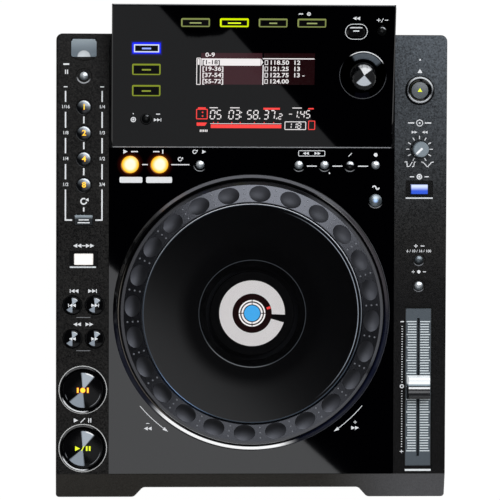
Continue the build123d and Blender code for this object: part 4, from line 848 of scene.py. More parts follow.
class PLAYER_OT_inner_parts(Step, bpy.types.Operator):
    """Finishes the slot drive, boards and other inner parts."""

    bl_idname = "player.inner_parts"
    bl_label = "Inner part finishes"

    def execute(self, context):
        Finish("zinc_sheet", "9a9da0", 0.34, **STEEL).dress("drive_frame")
        Finish("turned_steel", "b4b6b8", 0.25, **STEEL).dress("selector_plunger")
        Finish("turntable_black", "1d1d1f", 0.4, **MATT).dress("drive_turntable")
        Finish("roller_rubber", "202021", 0.8, **MATT).dress("loading_roller")
        sled = Finish("sled_black", "26262a", 0.45, **MATT)
        lens = sled.disc("pickup_sled", 3.0)
        sled.tint(lens, "30406a").smooth(lens, 0.05).dress("pickup_sled")
        Finish("holder_black", "060607", 0.5, specular=0.1, **MATT).dress("jog_holder")
        boards = Finish("green_boards", "1c5a34", 0.38, scale=160, change=0.35, bump=0.1, depth=0.05)
        boards.tint(boards.rise("Z", 92.0, 92.2), "202224").dress("circuit_boards")
        return {"FINISHED"}


class PLAYER_OT_jog_wheel(Step, bpy.types.Operator):
    """Finishes the jog wheel's ring, plate, lens and centre display."""

    bl_idname = "player.jog_wheel"
    bl_label = "Jog wheel finishes"

    def execute(self, context):
        sizes, colours = context.scene.player_sizes, context.scene.player_colours
        centre = middle("jog_ring")
        ring = Finish("satin_ring", colours.jog, 0.22, scale=1100, change=0.3, rough_change=0.02, bump=0.05,
                      depth=0.01, specular=0.95)
        ring.inputs["Specular Tint"].default_value = (0.86, 0.89, 1.0, 1)
        inside, outward, dots = ring.dimples(centre, sizes)
        ring.plate(inside, 0.15).smooth(inside, 0.5)
        # Painted light in each hollow: a paler painted highlight on its outer side and painted shade on its
        # inner side.
        for low, high, colour in ((-0.35, 0.95, "303136"), (-0.1, -0.9, "050506")):
            ring.tint(ring.both(inside, ramp(ring.tree, outward, low, high)), colour)
        hub = ring.disc(centre, 60.0, 1.0)
        # Paler dots between the hollows, as a painted highlight, and a black rough hub.
        ring.tint(dots, "6c6e73").tint(hub, "020202").smooth(hub, 0.9).dress("jog_ring")
        plate = Finish("lacquered_plate", "020203", 0.2, scale=200, change=0.2, specular=0.06)
        plate.grooves(centre, 0.9, 0.04, 0.02)
        plate.drawn["Coat Weight"] = plate.both(plate.outside(plate.disc(centre, 55.0, 7.0)), 0.42)
        # The plate's rim is tinted grey-blue all round. The gleams are painted highlights on the rim, and
        # painted reflections round the edge of the lens.
        plate.tint(plate.ring(centre, 84.5, 90.0, 0.12), "3a434e")
        plate.gleams(centre, (85.0, 90.0, 75, 62, "f0f3f8", 42), (84.8, 90.0, 228, 12, "8fb0e0", 14),
                     (82.2, 82.8, 10, 46, "8d949e", 20), (41.3, 41.8, 60, 190, "3c4045", 5),
                     (41.5, 42.1, 252, 34, "6a6d70", 16)).dress("jog_plate")
        lens = Finish("clear_lens", "101012", 0.02, scale=60, change=0.05, rough_change=0.0, bump=0)
        lens.inputs["Alpha"].default_value = 0.1
        lens.dress("jog_lens")
        screen = Finish("display_black", "020203", 0.4, scale=300, change=0.2, bump=0, specular=0.05)
        slit = screen.wedge(centre, -9.2, 6.8, 0.3)
        silver = screen.both(screen.ring(centre, 15.3, 25.6, 0.12), screen.outside(slit))
        screen.tint(silver, "f0ecec").smooth(silver, 0.5).light(silver, "484644")
        screen.tint(screen.disc(centre, 15.3), "1e0606").dress("jog_display")
        return {"FINISHED"}


class PLAYER_OT_keys(Step, bpy.types.Operator):
    """Finishes the push keys: plated domes, lit caps and gloss caps with turned faces."""

    bl_idname = "player.keys"
    bl_label = "Key finishes"

    def turned_cap(self, node, radius, top_way, low_way):
        """Gloss black cap whose turned face has painted highlights: two pale wedges and a crescent near its
        rim.
        """
        cap = Finish(node + "_gloss", "060607", specular=0.1, **GLOSS_CAP)
        cap.grooves(node, 0.5, 0.06, 0.01)
        cap.shine(node, cap.disc(node, radius, 0.2), 0.45, (*top_way, "aab3bc"), (*low_way, "8f98a2"))
        return cap.gleam(node, radius * 0.93, radius, top_way[0] - 6, top_way[1] * 0.6, "fafbfc", 4)

    def dome(self, node, low, high):
        """Plated dome with a painted highlight towards the rear, so it is darker towards the front."""
        cap = Finish(node + "_dome", low, 0.22, metal=0.45, scale=500, change=0.08, bump=0.05, depth=0.01)
        highlight_spot = cap.disc(beside(node, -0.3, 0.8), 2.4, 1.6)
        return cap.tint(cap.both(highlight_spot, cap.rise("Y", -3.5, 2.5, node)), high)

    def framed_cap(self, node, x, along, half, line, *codes):
        """Gloss cap whose edge is lit all round, and a second time inside where there are two colours."""
        x, y = up_slope(x, along)
        cap, outside = Finish(node + "_cap", "040405", specular=0.14, **GLOSS_CAP), None
        for code, inset in zip(codes, (line, line + 0.85)):
            place = (x, y - 0.3 + line * 0.12)
            edge = cap.outside(cap.box(place, half[0] - inset, half[1] * 0.966 - inset, 0.12))
            cap.light(edge if outside is None else cap.both(edge, cap.outside(outside)), code)
            outside = edge
        cap.dress(node)

    def domes(self):
        for node in ("stop_key", "reloop_key", "call_back_key", "call_forward_key", "memory_key",
                     "master_tempo_key"):
            self.dome(node, "60676c", "e8edf0").dress(node)
        self.dome("tempo_range_key", "25292c", "6f787e").dress("tempo_range_key")
        # Painted highlights: pale crescents on the delete, time mode and tag keys.
        for node, inner, way, half in (("delete_key", 1.0, 84, 74), ("time_mode_key", 1.9, 72, 26),
                                       ("tag_key", 1.9, 66, 52)):
            cap = self.dome(node, "0c0d0e", "141516")
            cap.gleam(node, inner, 2.9, way, half, "c8ccd0", 18, 0.3).dress(node)
        slip = self.dome("slip_key", "4c5459", "a8b2b8")
        slip.light(slip.disc("slip_key", 1.3, 1.2), "9cc4ff").dress("slip_key", 1.2)

    def lit_caps(self):
        for node in LOOP_KEYS:
            cap = Finish(node + "_lit", "3a1c08", 0.2, scale=200, change=0.05, bump=0)
            for radius, soft, colour in ((7.0, 0.3, "e88400"), (6.4, 0.5, "ffd838"), (4.5, 1.5, "ffffe0")):
                cap.light(cap.disc(node, radius, soft), colour)
            cap.dress(node)
        white = Finish("reverse_lit", "d0ccc8", 0.3, scale=300, change=0.04, bump=0)
        face = white.both(white.box("reverse_key", 7.2, 4.2, 0.3), white.rise("Z", 74, 75.5))
        white.light(face, "b8b4b0").dress("reverse_key")
        blue = Finish("jog_mode_lit", "1a2c60", 0.25, scale=300, change=0.05, bump=0)
        face = blue.box("jog_mode_key", 6.4, 3.6, 0.3)
        blue.light(face, "1c4cd0")
        blue.light(blue.both(face, blue.rise("Y", -1.5, 2.6, "jog_mode_key")), "dce8ff").dress("jog_mode_key")
        for name in BROWSE_KEYS:
            line, code = (1.0, "dcf200") if name == "tag_list" else (0.8, "828c50")
            self.framed_cap(name + "_key", browse_x(name), BROWSE_Y, (10.8, 3.2), line, code)
        for name, along in SOURCE_KEYS.items():
            line, *codes = (1.0, "1a2cff", "dfe8ff") if name == "link" else (0.8, "84922c")
            self.framed_cap(f"source_{name}_key", SOURCE_X, along, (10.7, 4.2), line, *codes)

    def execute(self, context):
        for node in ("cue_key", "play_key"):
            # Painted highlights on the rims of the cue and play keys.
            self.turned_cap(node, 13.6, (72, 22), (248, 27)).gleams(
                node, (13.7, 14.2, -40, 24, "77797c", 8), (13.7, 14.2, 203, 7, "707275", 5)).dress(node)
        for node in TRACK_KEYS:
            self.turned_cap(node, 5.6, (68, 26), (244, 26)).dress(node)
        for node in BEAT_KEYS.values():
            cap = Finish(node + "_cap", "0c0e11", 0.2, metal=0.2, scale=500, change=0.1, bump=0)
            # Painted highlights on each beat key: lighter towards the upper right, and a pale crescent.
            cap.tint(cap.both(cap.disc(node, 5.0, 0.5), cap.lean(node, 62, -2.4, 4.6)), "8f979e")
            cap.gleam(node, 4.2, 5.0, 72, 46, "d9dfe4", 26, 0.3).dress(node)
        self.domes()
        self.lit_caps()
        Finish("eject_cap", "565c60", 0.35, scale=500, change=0.08, bump=0.05, depth=0.01).dress("eject_key")
        select = Finish("beat_select_cap", "202428", 0.3, metal=0.4, scale=600, change=0.1, bump=0.05)
        # Painted highlight: the cap is lighter towards the rear.
        select.tint(select.rise("Y", 0.5, 3.6, "beat_select_key"), "a6b2ba").dress("beat_select_key")
        back = Finish("back_cap", "040405", **GLOSS_CAP)
        # Painted highlight: a pale stripe near the rear of the back key.
        back_highlight = back.box(beside("back_key", 0, 2.2), 4.9, 0.5, 0.3)
        back.tint(back.both(back_highlight, back.rise("Y", 1.2, 1.8, "back_key")), "e8eaec").dress("back_key")
        return {"FINISHED"}


class PLAYER_OT_controls(Step, bpy.types.Operator):
    """Finishes the knobs, the tempo fader, the port cover, the sockets and the power key."""

    bl_idname = "player.controls"
    bl_label = "Knob, fader and socket finishes"

    def execute(self, context):
        colours = context.scene.player_colours
        knob = Finish("selector_black", "0a0b0d", 0.2, metal=0.2, scale=300, change=0.1, bump=0)
        centre = beside("selector_knob", 0, 0.6)
        # Painted highlights: two pale wedges on the knob's turned top.
        knob.shine(centre, knob.disc(centre, 8.2, 0.3), 0.4, (79, 42, "f2f4f6"), (268, 44, "c4cad2"))
        knob.dress("selector_knob")
        speed = Finish("speed_grey", "14161a", 0.4, scale=700, change=0.12, bump=0.1, depth=0.03)
        speed.tint(speed.disc("speed_knob", 6.2, 0.3), "78848c").dress("speed_knob")
        fader = Finish("scale_plate", colours.scale_plate, 0.4, scale=500, change=0.06, bump=0.05, depth=0.02)
        # Painted shade: the plate is black outside its middle, along the walls of its well.
        fader.tint(fader.outside(fader.box("tempo_fader", 9.8, 200.0)), "060708").dress("tempo_fader")
        cap = Finish("tempo_cap_grey", "101114", 0.3, scale=600, change=0.08, bump=0.06, depth=0.02)
        cap.tint(cap.rise("Y", 1.2, 2.0, "tempo_cap"), "8fa0aa")
        # The cap's head is white, and also glows a little as painted light.
        head = cap.rise("Y", 2.4, 3.6, "tempo_cap")
        cap.tint(head, "eef2f4").light(head, "989c9e").dress("tempo_cap")
        cover = Finish("brushed_cover", colours.cover, 0.34, metal=0.6, scale=700, stretch=(1, 12, 1),
                       change=0.1)
        # Painted highlights: the cover is lighter towards the rear, and pale round the finger notch at its
        # front edge.
        cover.tint(cover.rise("Y", -4, 9, "usb_cover"), "9aa5ab")
        notch = cover.disc((middle("usb_cover")[0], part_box("usb_cover")[0].y / MM), 5.0, 0.5)
        cover.tint(notch, "d6dce0").plate(notch, 0.1).dress("usb_cover")
        sockets = Finish("socket_black", "161617", 0.4, scale=500, change=0.12, bump=0.08)
        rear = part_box("sockets")[1].y / MM
        contacts = sockets.rise("Y", rear - 9.5, rear - 8.5)
        sockets.tint(contacts, "c8cacc").plate(contacts).smooth(contacts, 0.22).dress("sockets")
        Finish("power_black", "1a1a1c", 0.4, scale=600, change=0.12, bump=0.1, depth=0.03).dress("power_key")
        return {"FINISHED"}


# ---- printed marks ----------------------------------------------------------------------------------------
BEAT_SPANS = ((125.4, 116.9), (109.1, 96.7), (88.8, 76.9), (68.5, 56.7))
BEAT_GAPS = ((105.6, 100.2), (85.6, 80.1), (65.4, 59.9), (34.9, 31.6))
BEAT_KEYS_X = -131.0
BEAT_LOW, BEAT_END = 48.8, 25.0
BEAT_LEVELS = (113.0, 92.8, 72.7, 52.6)
BEAT_LINES = (
    (-145.2, -140.0, ("1/16", "1/8", "1/4", "1/2")), (-116.8, -122.0, ("1/4", "1/3", "1/2", "3/4")),
)
BEAT_ENDS = "bar -147 145.5 -142.4 146.8, block -145.2 128.6 3 .8, block -116.8 128.6 3 .8"
TEMPO_X = 118.2
TEMPO_TOPS = (-57.8, -108.6)
TEMPO_PITCH = 1.98
TEMPO_ENDS = "block 118.2 -54.1 2.7 .8, hoop 118.2 -104.8 .8 1.7 16, plus 118.2 -156 2.9"
LEFT_PRINT = """pause -144.6 140.2 3.4, loop -131 39.6 5.4, back -136 5 3.2, forward -126 5 3.2,
block -131 5 3.2 .7, last -138 -30.3 3, next -124.4 -30.3 3, back -136 -56.3 3, forward -126.4 -56.3 3,
play -136.8 -131.4 3.4, pause -126.2 -131.4 3.4, line .7 -133.2 -133.1 -129.8 -129.7"""
RIGHT_PRINT = """record 131 150.6 1.4, eject 131 141.6 4, hoop 131 101.4 2.1 2.7 24, disc 131 101.4 .7 12,
block 124.4 101.4 5 .9, block 137.6 101.4 5 .9, forward 127 94.2 2.2, back 135 94.2 2.2,
wheel 131 59.4 4.4, block 125.2 59.4 3.4 .8, block 136.8 59.4 3.4 .8, plus 128.6 5.2 3,
block 133.8 5.2 3 .7, record 131 -15 2.6, plus 126.6 -15 2.4, block 135.4 -15 2.4 .6"""
SPEED_CURVES = """line .7 119.4 71 121.2 71 121.4 67.4 123 67.4, line .6 123.2 67.4 125.4 71,
line .7 125.2 67.2 126.6 67.6 127 70.8 128.2 71, line .7 132.4 71 134.2 70.4 137 67.4 138.2 67.2,
line .7 138 67.8 140.4 70.6 142.2 71"""
DECK_PRINT = """bar -85.6 67.9 -81.2 68.7, bar -63 67.9 -48.8 68.7, bar 42.9 67.1 50.7 67.9,
bar 62.9 67.1 70.6 67.9, bar 82.8 67.1 90.7 67.9, frame 46.6 77.4 21 4.6 1 .5, play -98.6 78.4 3.4,
block -91.6 78.4 5.4 .9, block -74.6 78.4 5 .9, block -69.6 78.4 .9 3.2, loop -56.2 72.6 3.4,
loop -44.8 78.4 3.4, play -37.4 78.4 3, back 42 77.4 2.4, forward 51.2 77.4 2.4, cross 76.7 76.4 3.2,
record 96.7 76.4 3, wave 97 50.8 5, disc 60.6 62 .6 10"""
TURN_SIGNS = "block -80.8 -133.8 2.6 .5, back -80.8 -137.8 3, plus 81.6 -132.9 2.6, forward 81.6 -137.4 3"
TURN_RADIUS = 113.6
FADER_TICKS = 51
FADER_TOP = -54.1
FADER_PITCH = 2.03


class PLAYER_OT_panel_print(Step, bpy.types.Operator):
    """Prints the lines, numerals, ticks and pictograms of the side panels and the deck."""

    bl_idname = "player.panel_print"
    bl_label = "Panel print"

    def beat_lines(self, line):
        outlines = []
        for x, back, _ in BEAT_LINES:
            outlines += [bar(x - line / 2, low, x + line / 2, high) for high, low in BEAT_SPANS]
            outlines.append(stroke([(x, BEAT_LOW), (x, BEAT_END), (back, BEAT_END)], line))
        outlines += [bar_at(BEAT_KEYS_X, (high + low) / 2, line, high - low) for high, low in BEAT_GAPS]
        return outlines + drawing(BEAT_ENDS)

    def turn_arrows(self):
        x, y, _ = middle("jog_ring")
        outlines = drawing(TURN_SIGNS)
        for start, end, tip in ((220.0, 233.0, 235.2), (320.0, 307.0, 304.8)):
            outlines.append(stroke(arc(x, y, TURN_RADIUS, start, end, 16), 0.5))
            points = ((tip, TURN_RADIUS), (end, TURN_RADIUS - 1.2), (end, TURN_RADIUS + 1.4))
            outlines.append([arc(x, y, radius, angle, angle, 1)[0] for angle, radius in points])
        return outlines

    def execute(self, context):
        sizes, colours = context.scene.player_sizes, context.scene.player_colours
        white = ink("print_white", colours.print_white)
        grey = ink("print_grey", colours.print_grey)
        fractions = [(text, 2.6, x, y) for x, _, texts in BEAT_LINES for text, y in zip(texts, BEAT_LEVELS)]
        ranges = [("6 / 10 / 16 / 100", 2.1, 131.0, 1.2)]
        place = middle("speed_knob")[:2]
        ticks = [ray(*place, 240 - i * 30, sizes.thin_line / MM * 1.2, 7.9, 10.4) for i in range(11)]
        dots = [bar_at(TEMPO_X, top - i * TEMPO_PITCH, 1.0, 0.6) for top in TEMPO_TOPS for i in range(23)]
        pads = [rounded(-94.3, 56.4, 17.8, 4.6, 1.0), rounded(-72.4, 56.4, 20.2, 4.7, 1.0)]
        side, deck = "upper_cabinet", "deck_panel"
        for name, node, material, outlines, numerals in (
            ("beat_lines", side, white, self.beat_lines(sizes.line / MM), ()),
            ("beat_fractions", side, white, (), fractions),
            ("left_pictograms", side, white, drawing(LEFT_PRINT), ()),
            ("pair_lines", side, grey, drawing("block -131.2 -50.9 11 .5, block -131.2 -76.9 11 .5"), ()),
            ("right_pictograms", side, white, drawing(RIGHT_PRINT), ()),
            ("tempo_ranges", side, white, (), ranges),
            ("speed_ticks", side, white, ticks + drawing(SPEED_CURVES), ()),
            ("tempo_dots", side, white, dots + drawing(TEMPO_ENDS), ()),
            ("deck_print", deck, white, drawing(DECK_PRINT), ()),
            ("loop_pads", deck, white, pads, ()),
            ("turn_arrows", deck, white, self.turn_arrows(), ()),
        ):
            make_marks(name, node, material, outlines, numerals)
        return {"FINISHED"}


class PLAYER_OT_fader_print(Step, bpy.types.Operator):
    """Prints the tempo fader's ticks, the line on its cap and the speed knob's pointer."""

    bl_idname = "player.fader_print"
    bl_label = "Fader and knob print"

    def execute(self, context):
        pale = ink("fader_ink", "d4dde0")
        white = ink("pointer_white", "f4f6f8")
        x = middle("tempo_fader")[0]
        ticks = []
        for i in range(FADER_TICKS):
            reach, y = 9.2 if i % 5 == 0 else 8.3, FADER_TOP - i * FADER_PITCH
            low, high = y - 0.42, y + 0.42
            ticks += [bar(x - reach, low, x - 1.5, high), bar(x + 1.5, low, x + reach, high)]
        level = surface_height("tempo_fader", x + 5, -58.0)
        make_marks("tempo_ticks", "tempo_fader", pale, ticks, flat=level)
        line = bar_at(*middle("tempo_cap")[:2], 16.6, 1.5)
        make_marks("cap_line", "tempo_cap", white, [line], lift=0.12)
        pointer = ray(*middle("speed_knob")[:2], 224, 1.7, -1.2, 0.4, 2.0, 3.4, 4.8, 5.8, 6.5)
        make_marks("speed_pointer", "speed_knob", white, [pointer], lift=0.12)
        return {"FINISHED"}


class PLAYER_OT_key_marks(Step, bpy.types.Operator):
    """Lights and prints the numerals, pictograms and bars on the push keys."""

    bl_idname = "player.key_marks"
    bl_label = "Key marks"

    def centred(self, *marks):
        """Marks drawn round the middles of their keys."""
        for name, node, material, lift, rows in marks:
            make_marks(name, node, material, drawing(rows, *middle(node)[:2]), lift=lift)

    def execute(self, context):
        colours = context.scene.player_colours
        amber, lime = lamp("lit_amber", colours.amber), lamp("lit_lime", colours.lime)
        ember, white = lamp("lit_ember", "d04a08"), ink("key_white", "f0f3f6")
        for beats, node in BEAT_KEYS.items():
            for name, material, bold, lift in (("edge", ember, 0.05, 0.1), ("heart", amber, 0.015, 0.16)):
                numeral = (beats, 4.2, *beside(node, 0.2, 0), 1.1, "CENTER", bold)
                make_marks(f"beat_{beats}_{name}", node, material, numerals=[numeral], lift=lift)
        self.centred(
            ("cue_edge", "cue_key", ember, 0.1, "block -3.9 0 1.8 4.4, disc 0 0 2.25, block 3.9 0 1.8 4.4"),
            ("cue_heart", "cue_key", amber, 0.16, "block -3.9 0 1.2 3.8, disc 0 0 1.9, block 3.9 0 1.2 3.8"),
            ("play_mark", "play_key", lime, 0.12,
             "play -4 0 3.8, line .7 -.9 -1.8 .9 1.8, block 3.1 0 1.3 3.7, block 5.4 0 1.3 3.7"),
            ("eject_mark", "eject_key", lime, 0.12, "eject 0 0 3.6"),
            *((node.replace("key", "mark"), node, white, 0.1, kind + " 0 0 2.6")
              for node, kind in TRACK_KEYS.items()),
        )
        dim = lamp("lit_dim", "8c965a")
        bright = lamp("lit_bright", "dcf200")
        for name, width, material in (("browse", 9, dim), ("info", 6, dim), ("menu", 8, dim),
                                      ("tag_list", 10, bright)):
            line = bar_at(browse_x(name), BROWSE_Y, width, 1.0)
            make_marks(name + "_mark", name + "_key", material, [line], place=on_cap)
        for name, along in SOURCE_KEYS.items():
            material = lamp(name + "_lit", "8ea2ff" if name == "link" else "7d8a24")
            line = bar_at(SOURCE_X, along, 7, 1.2)
            make_marks(name + "_mark", f"source_{name}_key", material, [line], place=on_cap)
        self.centred(
            ("back_bar", "back_key", white, None, "block 0 -.4 4.6 .8"),
            ("beat_select_bar", "beat_select_key", white, 0.08, "block 0 .2 8 .8, block 0 -2 9.4 .8"),
        )
        return {"FINISHED"}


SCREEN_ROWS = """bar -40.4 66 5.4 71.6, bar 7 50.8 7.8 66.6, bar 7 71.2 47 72,
frame -42.5 61.4 3.4 21.6 .6 .6, bar -43.2 66.6 -41.8 71.2, loop_of 5.8 66 7.4 68.8 5.8 71.6"""
SCREEN_LIST = (
    ("[19-36]", -39.8, 63.3), ("[37-54]", -39.8, 58.3), ("[55-72]", -39.8, 53.3), ("0-9", -37.4, 74.4),
    ("118.50  12", 12.2, 68.4), ("121.25  13", 12.2, 63.4), ("122.75  13 -", 12.2, 58.4),
    ("124.00", 12.2, 53.4),
)
SCREEN_DIGITS = (
    ("05", -33.2, 23.4, 6.8, 4.9, 0.8), ("03", -18.8, 23.4, 6.8, 4.9, 0.8), ("58", -4.6, 23.4, 6.8, 4.9, 0.8),
    ("37", 8.4, 23.4, 6.8, 4.9, 0.8), ("2", 19.8, 23.4, 4.2, 4.0, 0.7), ("1", 31.4, 24.4, 5.8, 4.4, 0.75),
    ("45", 36.8, 24.4, 5.8, 4.4, 0.75),
)
SCREEN_SIGNS = """block -9.2 25 .9 .9, block -8.8 28.6 .9 .9, block 5.4 23.8 .9 .9, block 18.6 23.8 .9 .9,
block 29.4 27.4 2.4 .6, block 35.9 24.8 .8 .8, block -30.4 32.3 6.4 .7, block -14 32.3 7.4 .7,
block 34.4 32.3 7.2 .7, frame 33.3 18.1 16.8 6.8 .8 .6, bar -33 19.4 22.4 19.8"""
SCREEN_RED = """bar -32.5 16 22.4 18.9, frame -39.5 27.2 9 8.4 .8 .7, bar -42.6 31.5 -36.6 32.6,
loop_of -43.5 20.4 -35.5 20.4 -37 17.8 -43.5 17.8, bar 8.2 30.9 21 32.4, bar 43.1 31.3 47.3 32.3,
frame 46 18.5 5.4 7.4 .7 .6, block -39 28.6 1.1 1.1, block -39 25.6 1.1 1.1"""
RED_TICKS = (-30.4, -27.0, -16.2, -9.6, 1.4, 9.0, 16.4)
DISPLAY_PRINT = """frame 79 93.4 17.4 12.4 6.1 .45, block -92.7 27.3 .8 .8, wheel -92.7 22.6 4.2,
block -73.5 27 3 .8, next -74.2 22.4 2.6, block 35.8 107.2 3.4 .9, wheel 42 107.2 3, back 78.8 103.9 2.8,
plus 96 102.6 3, line .5 98 100.8 99.6 104, block 102 102.6 2.8 .6"""


class PLAYER_OT_display_screen(Step, bpy.types.Operator):
    """Lights the list, digits, bar and boxes of the display, and prints round its keys."""

    bl_idname = "player.display_screen"
    bl_label = "Display screen"

    def show(self, name, material, lift, outlines, numerals=()):
        rows = [(text, 3.3, x, y, 1.2, "LEFT", 0.03) for text, x, y in numerals]
        make_marks(name, "display_window", material, outlines, rows, place=up_slope, lift=lift)

    def execute(self, context):
        colours = context.scene.player_colours
        pale, red = lamp("screen_white", "d8d4d4"), lamp("screen_red", colours.red)
        dark = Finish("screen_dark", "120a0c", 0.2, scale=200, change=0.1, bump=0).done()
        maroon, dusk = lamp("screen_maroon", colours.maroon, 0.05), lamp("screen_dusk", "180709", 0.05)
        self.show("screen_ground", maroon, 0.03, [bar(-40.6, 50.9, 6.6, 76.0)])
        self.show("screen_dusk", dusk, 0.02, [bar(7.9, 50.9, 47.4, 76.0)])
        self.show("screen_rows", pale, 0.05, drawing(SCREEN_ROWS))
        tabs = [item for i in range(4) for item in rim_frame(9.9, 68.5 - i * 5.0, 2.6, 3.7, 0.3, 0.5)]
        self.show("screen_list", pale, 0.07, tabs, SCREEN_LIST)
        self.show("screen_chosen", dark, 0.09, (), [("[1-18]", -39.8, 68.5)])
        digits = [outline for row in SCREEN_DIGITS for outline in segment_digits(*row)]
        digits += [bar_at(-40.6 + i * 1.3, 13.8, 0.8, 1.8) for i in range(5)]
        self.show("screen_digits", pale, 0.05, digits + drawing(SCREEN_SIGNS))
        self.show("screen_tempo", pale, 0.06, segment_digits("118", 27.4, 15.9, 4.4, 3.7, 0.65))
        ticks = [bar_at(x, 20.5, 0.7, 0.8) for x in RED_TICKS]
        self.show("screen_red", red, 0.05, ticks + drawing(SCREEN_RED))
        self.show("display_print", ink("display_ink", colours.print_white), None, drawing(DISPLAY_PRINT))
        return {"FINISHED"}


class PLAYER_OT_jog_screen(Step, bpy.types.Operator):
    """Lights the centre of the jog wheel: blue disc, two broken white rings and the red place marker."""

    bl_idname = "player.jog_screen"
    bl_label = "Jog screen"

    def execute(self, context):
        colours = context.scene.player_colours
        x, y, _ = middle("jog_display")
        rings = []
        for inner, outer in ((6.9, 8.3), (9.3, 10.4)):
            gap = math.degrees(0.35 / outer)
            rings += [sector(x, y, inner, outer, q * 90 + gap, q * 90 + 90 - gap, 12) for q in range(4)]
        for name, material, outlines in (
            ("jog_rings", lamp("jog_white", "f2eeee"), rings),
            ("jog_disc", lamp("jog_blue", colours.sky), [disc(x, y, 6.2, 40)]),
            ("jog_marker", lamp("jog_red", colours.red), [sector(x, y, 12.0, 15.0, 14.0, 22.0, 4)]),
        ):
            make_marks(name, "jog_display", material, outlines, flat=True)
        return {"FINISHED"}


# ---- studio, in metres ------------------------------------------------------------------------------------
CAMERA_PLACE = (-0.12815, 0.10975, 2.65099)
CAMERA_TURN = (-2.405, -2.810, 0.205)
CAMERA_LENS = 238.13
SENSOR_WIDTH = 36
ROOM_LEVEL = 0.55
FLOOR_SIZE = 14
FLOOR_TONE = (0.86, 0.86, 0.86, 1)
FLOOR_GLOW = 1.05
FLOOR_GLOW_SHARE = 0.93
WHITE = (1, 1, 1, 1)
LIGHT_COLOUR = (0.955, 0.97, 1.0)
# name, place, direction of the long side, size, level
SOFTBOXES = (
    ("key_softbox", (0.75, 1.0, 2.3), (1, 0, 0), (1.9, 1.3), 4.6),
    ("ring_card", (0.2, -1.05, 3.0), (1, 0, 0), (1.3, 0.5), 1.9),
    ("deck_card", (-0.0074, -0.4477, 3.075), (0.7432, -0.6691, 0), (0.62, 0.33), 1.75),
)
# The light over the display is a row of strips that start at their own places along an edge.
DISPLAY_EDGE = (0.1242, -1.4077)
DISPLAY_WAY = (0.631, -0.776)
DISPLAY_LEVEL = 0.44
DISPLAY_HEIGHT = 3.0
STRIP_WIDTH = 0.005
STRIP_STARTS = (0, 0, 0, 0, -2, -5, -8, -12, -15, -18, -21, -25, -30, -35)
STRIP_END = 0.36
LAST_STRIP = (-0.19, 0.07, 0.36)


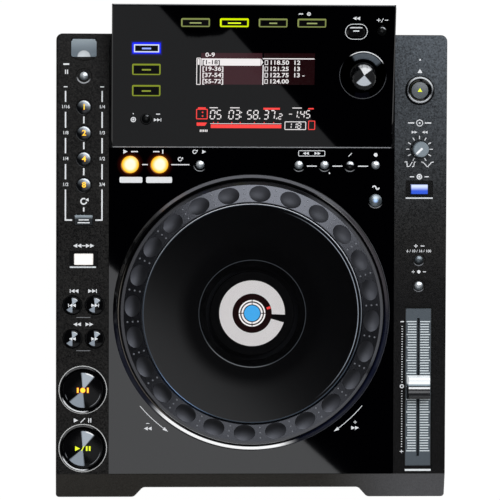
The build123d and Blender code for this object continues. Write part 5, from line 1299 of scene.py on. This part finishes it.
class PLAYER_OT_stage(Step, bpy.types.Operator):
    """Sets the pale floor, the soft lights, the room and the camera."""

    bl_idname = "player.stage"
    bl_label = "Studio"

    def floor(self):
        bpy.ops.object.select_all(action="DESELECT")
        bpy.ops.mesh.primitive_plane_add(size=FLOOR_SIZE, location=(0, 0, 0))
        item = bpy.context.object
        item.name = "studio_floor"
        material = bpy.data.materials.new("floor_white")
        material.use_nodes = True
        tree = material.node_tree
        tree.nodes.clear()
        plain = add_node(tree, "BsdfDiffuse", {"Color": FLOOR_TONE})[0]
        glow = add_node(tree, "Emission", {"Color": WHITE, "Strength": FLOOR_GLOW})[0]
        share = maths(tree, "MULTIPLY", self.seen_rays(tree), FLOOR_GLOW_SHARE)
        add_node(tree, "OutputMaterial", {0: add_node(tree, "MixShader", {0: share, 1: plain, 2: glow})[0]})
        item.data.materials.append(material)

    def seen_rays(self, tree):
        """1 for what the camera sees, straight, in a reflection or through glass."""
        path = add_node(tree, "LightPath")
        first = maths(tree, "ADD", path["Is Camera Ray"], path["Is Glossy Ray"])
        return maths(tree, "MINIMUM", maths(tree, "ADD", first, path["Is Transmission Ray"]), 1.0)

    def room(self):
        """An even light, seen as white low down and black above."""
        world = bpy.data.worlds.new("studio_room")
        bpy.context.scene.world = world
        world.use_nodes = True
        tree = world.node_tree
        tree.nodes.clear()
        height = add_node(tree, "SeparateXYZ", {0: add_node(tree, "TexCoord")["Generated"]})[2]
        shade = maths(tree, "MAXIMUM", ramp(tree, height, 0.0, 0.35, 1.0, 0.0), 0.0)
        tone = add_node(tree, "CombineXYZ", {0: shade, 1: shade, 2: shade})[0]
        seen = add_node(tree, "Background", {"Color": tone, "Strength": 1.0})[0]
        even = add_node(tree, "Background", {"Color": WHITE, "Strength": ROOM_LEVEL})[0]
        mixed = add_node(tree, "MixShader", {0: self.seen_rays(tree), 1: even, 2: seen})[0]
        add_node(tree, "OutputWorld", {0: mixed})

    def softbox(self, name, place, along, size, level):
        """A rectangular lamp of an even brightness that shines straight down."""
        data = bpy.data.lights.new(name, "AREA")
        data.shape = "RECTANGLE"
        data.size, data.size_y = size
        data.energy = level * math.pi * size[0] * size[1]
        data.color = LIGHT_COLOUR
        item = bpy.data.objects.new(name, data)
        bpy.context.scene.collection.objects.link(item)
        back = Vector((0, 0, 1))
        across = back.cross(Vector(along)).normalized()
        turn = Matrix((across.cross(back), across, back)).transposed().to_4x4()
        item.matrix_world = Matrix.Translation(place) @ turn
        item.visible_camera = False

    def display_strips(self):
        rows = [(start * MM, i * STRIP_WIDTH, (i + 1) * STRIP_WIDTH) for i, start in enumerate(STRIP_STARTS)]
        (x, y), (way_x, way_y) = DISPLAY_EDGE, DISPLAY_WAY
        for start, near, far in (*rows, LAST_STRIP):
            along, out = (start + STRIP_END) / 2, (near + far) / 2
            place = (x + way_x * along + way_y * out, y + way_y * along - way_x * out, DISPLAY_HEIGHT)
            size = (STRIP_END - start, far - near)
            self.softbox("display_card", place, (*DISPLAY_WAY, 0), size, DISPLAY_LEVEL)

    def camera(self):
        data = bpy.data.cameras.new("camera")
        data.sensor_width = SENSOR_WIDTH
        data.lens = CAMERA_LENS
        item = bpy.data.objects.new("camera", data)
        item.location = CAMERA_PLACE
        item.rotation_euler = [math.radians(value) for value in CAMERA_TURN]
        bpy.context.scene.collection.objects.link(item)
        bpy.context.scene.camera = item
        bpy.context.scene.view_settings.view_transform = "Standard"

    def execute(self, context):
        self.floor()
        self.room()
        for row in SOFTBOXES:
            self.softbox(*row)
        self.display_strips()
        self.camera()
        return {"FINISHED"}


STEPS = (
    PLAYER_OT_stage, PLAYER_OT_cabinet, PLAYER_OT_inner_parts, PLAYER_OT_jog_wheel, PLAYER_OT_keys,
    PLAYER_OT_controls, PLAYER_OT_panel_print, PLAYER_OT_fader_print, PLAYER_OT_key_marks,
    PLAYER_OT_display_screen, PLAYER_OT_jog_screen,
)


class PLAYER_PT_steps(bpy.types.Panel):
    """Lists the steps of the build."""

    bl_label = "Disc player"
    bl_idname = "PLAYER_PT_steps"
    bl_space_type = "VIEW_3D"
    bl_region_type = "UI"
    bl_category = "Disc player"

    def draw(self, context):
        for step in STEPS:
            self.layout.operator(step.bl_idname)


CLASSES = (PlayerSizes, PlayerColours, *STEPS, PLAYER_PT_steps)


def register():
    for item in CLASSES:
        bpy.utils.register_class(item)
    bpy.types.Scene.player_sizes = bpy.props.PointerProperty(type=PlayerSizes)
    bpy.types.Scene.player_colours = bpy.props.PointerProperty(type=PlayerColours)


def unregister():
    del bpy.types.Scene.player_sizes
    del bpy.types.Scene.player_colours
    for item in reversed(CLASSES):
        bpy.utils.unregister_class(item)


def main():
    register()
    build_groups()
    for step in STEPS:
        name = step.bl_idname.split(".")[1]
        if getattr(bpy.ops.player, name)() != {"FINISHED"}:
            raise RuntimeError(f"{step.bl_label} did not finish")


if __name__ == "__main__":
    main()
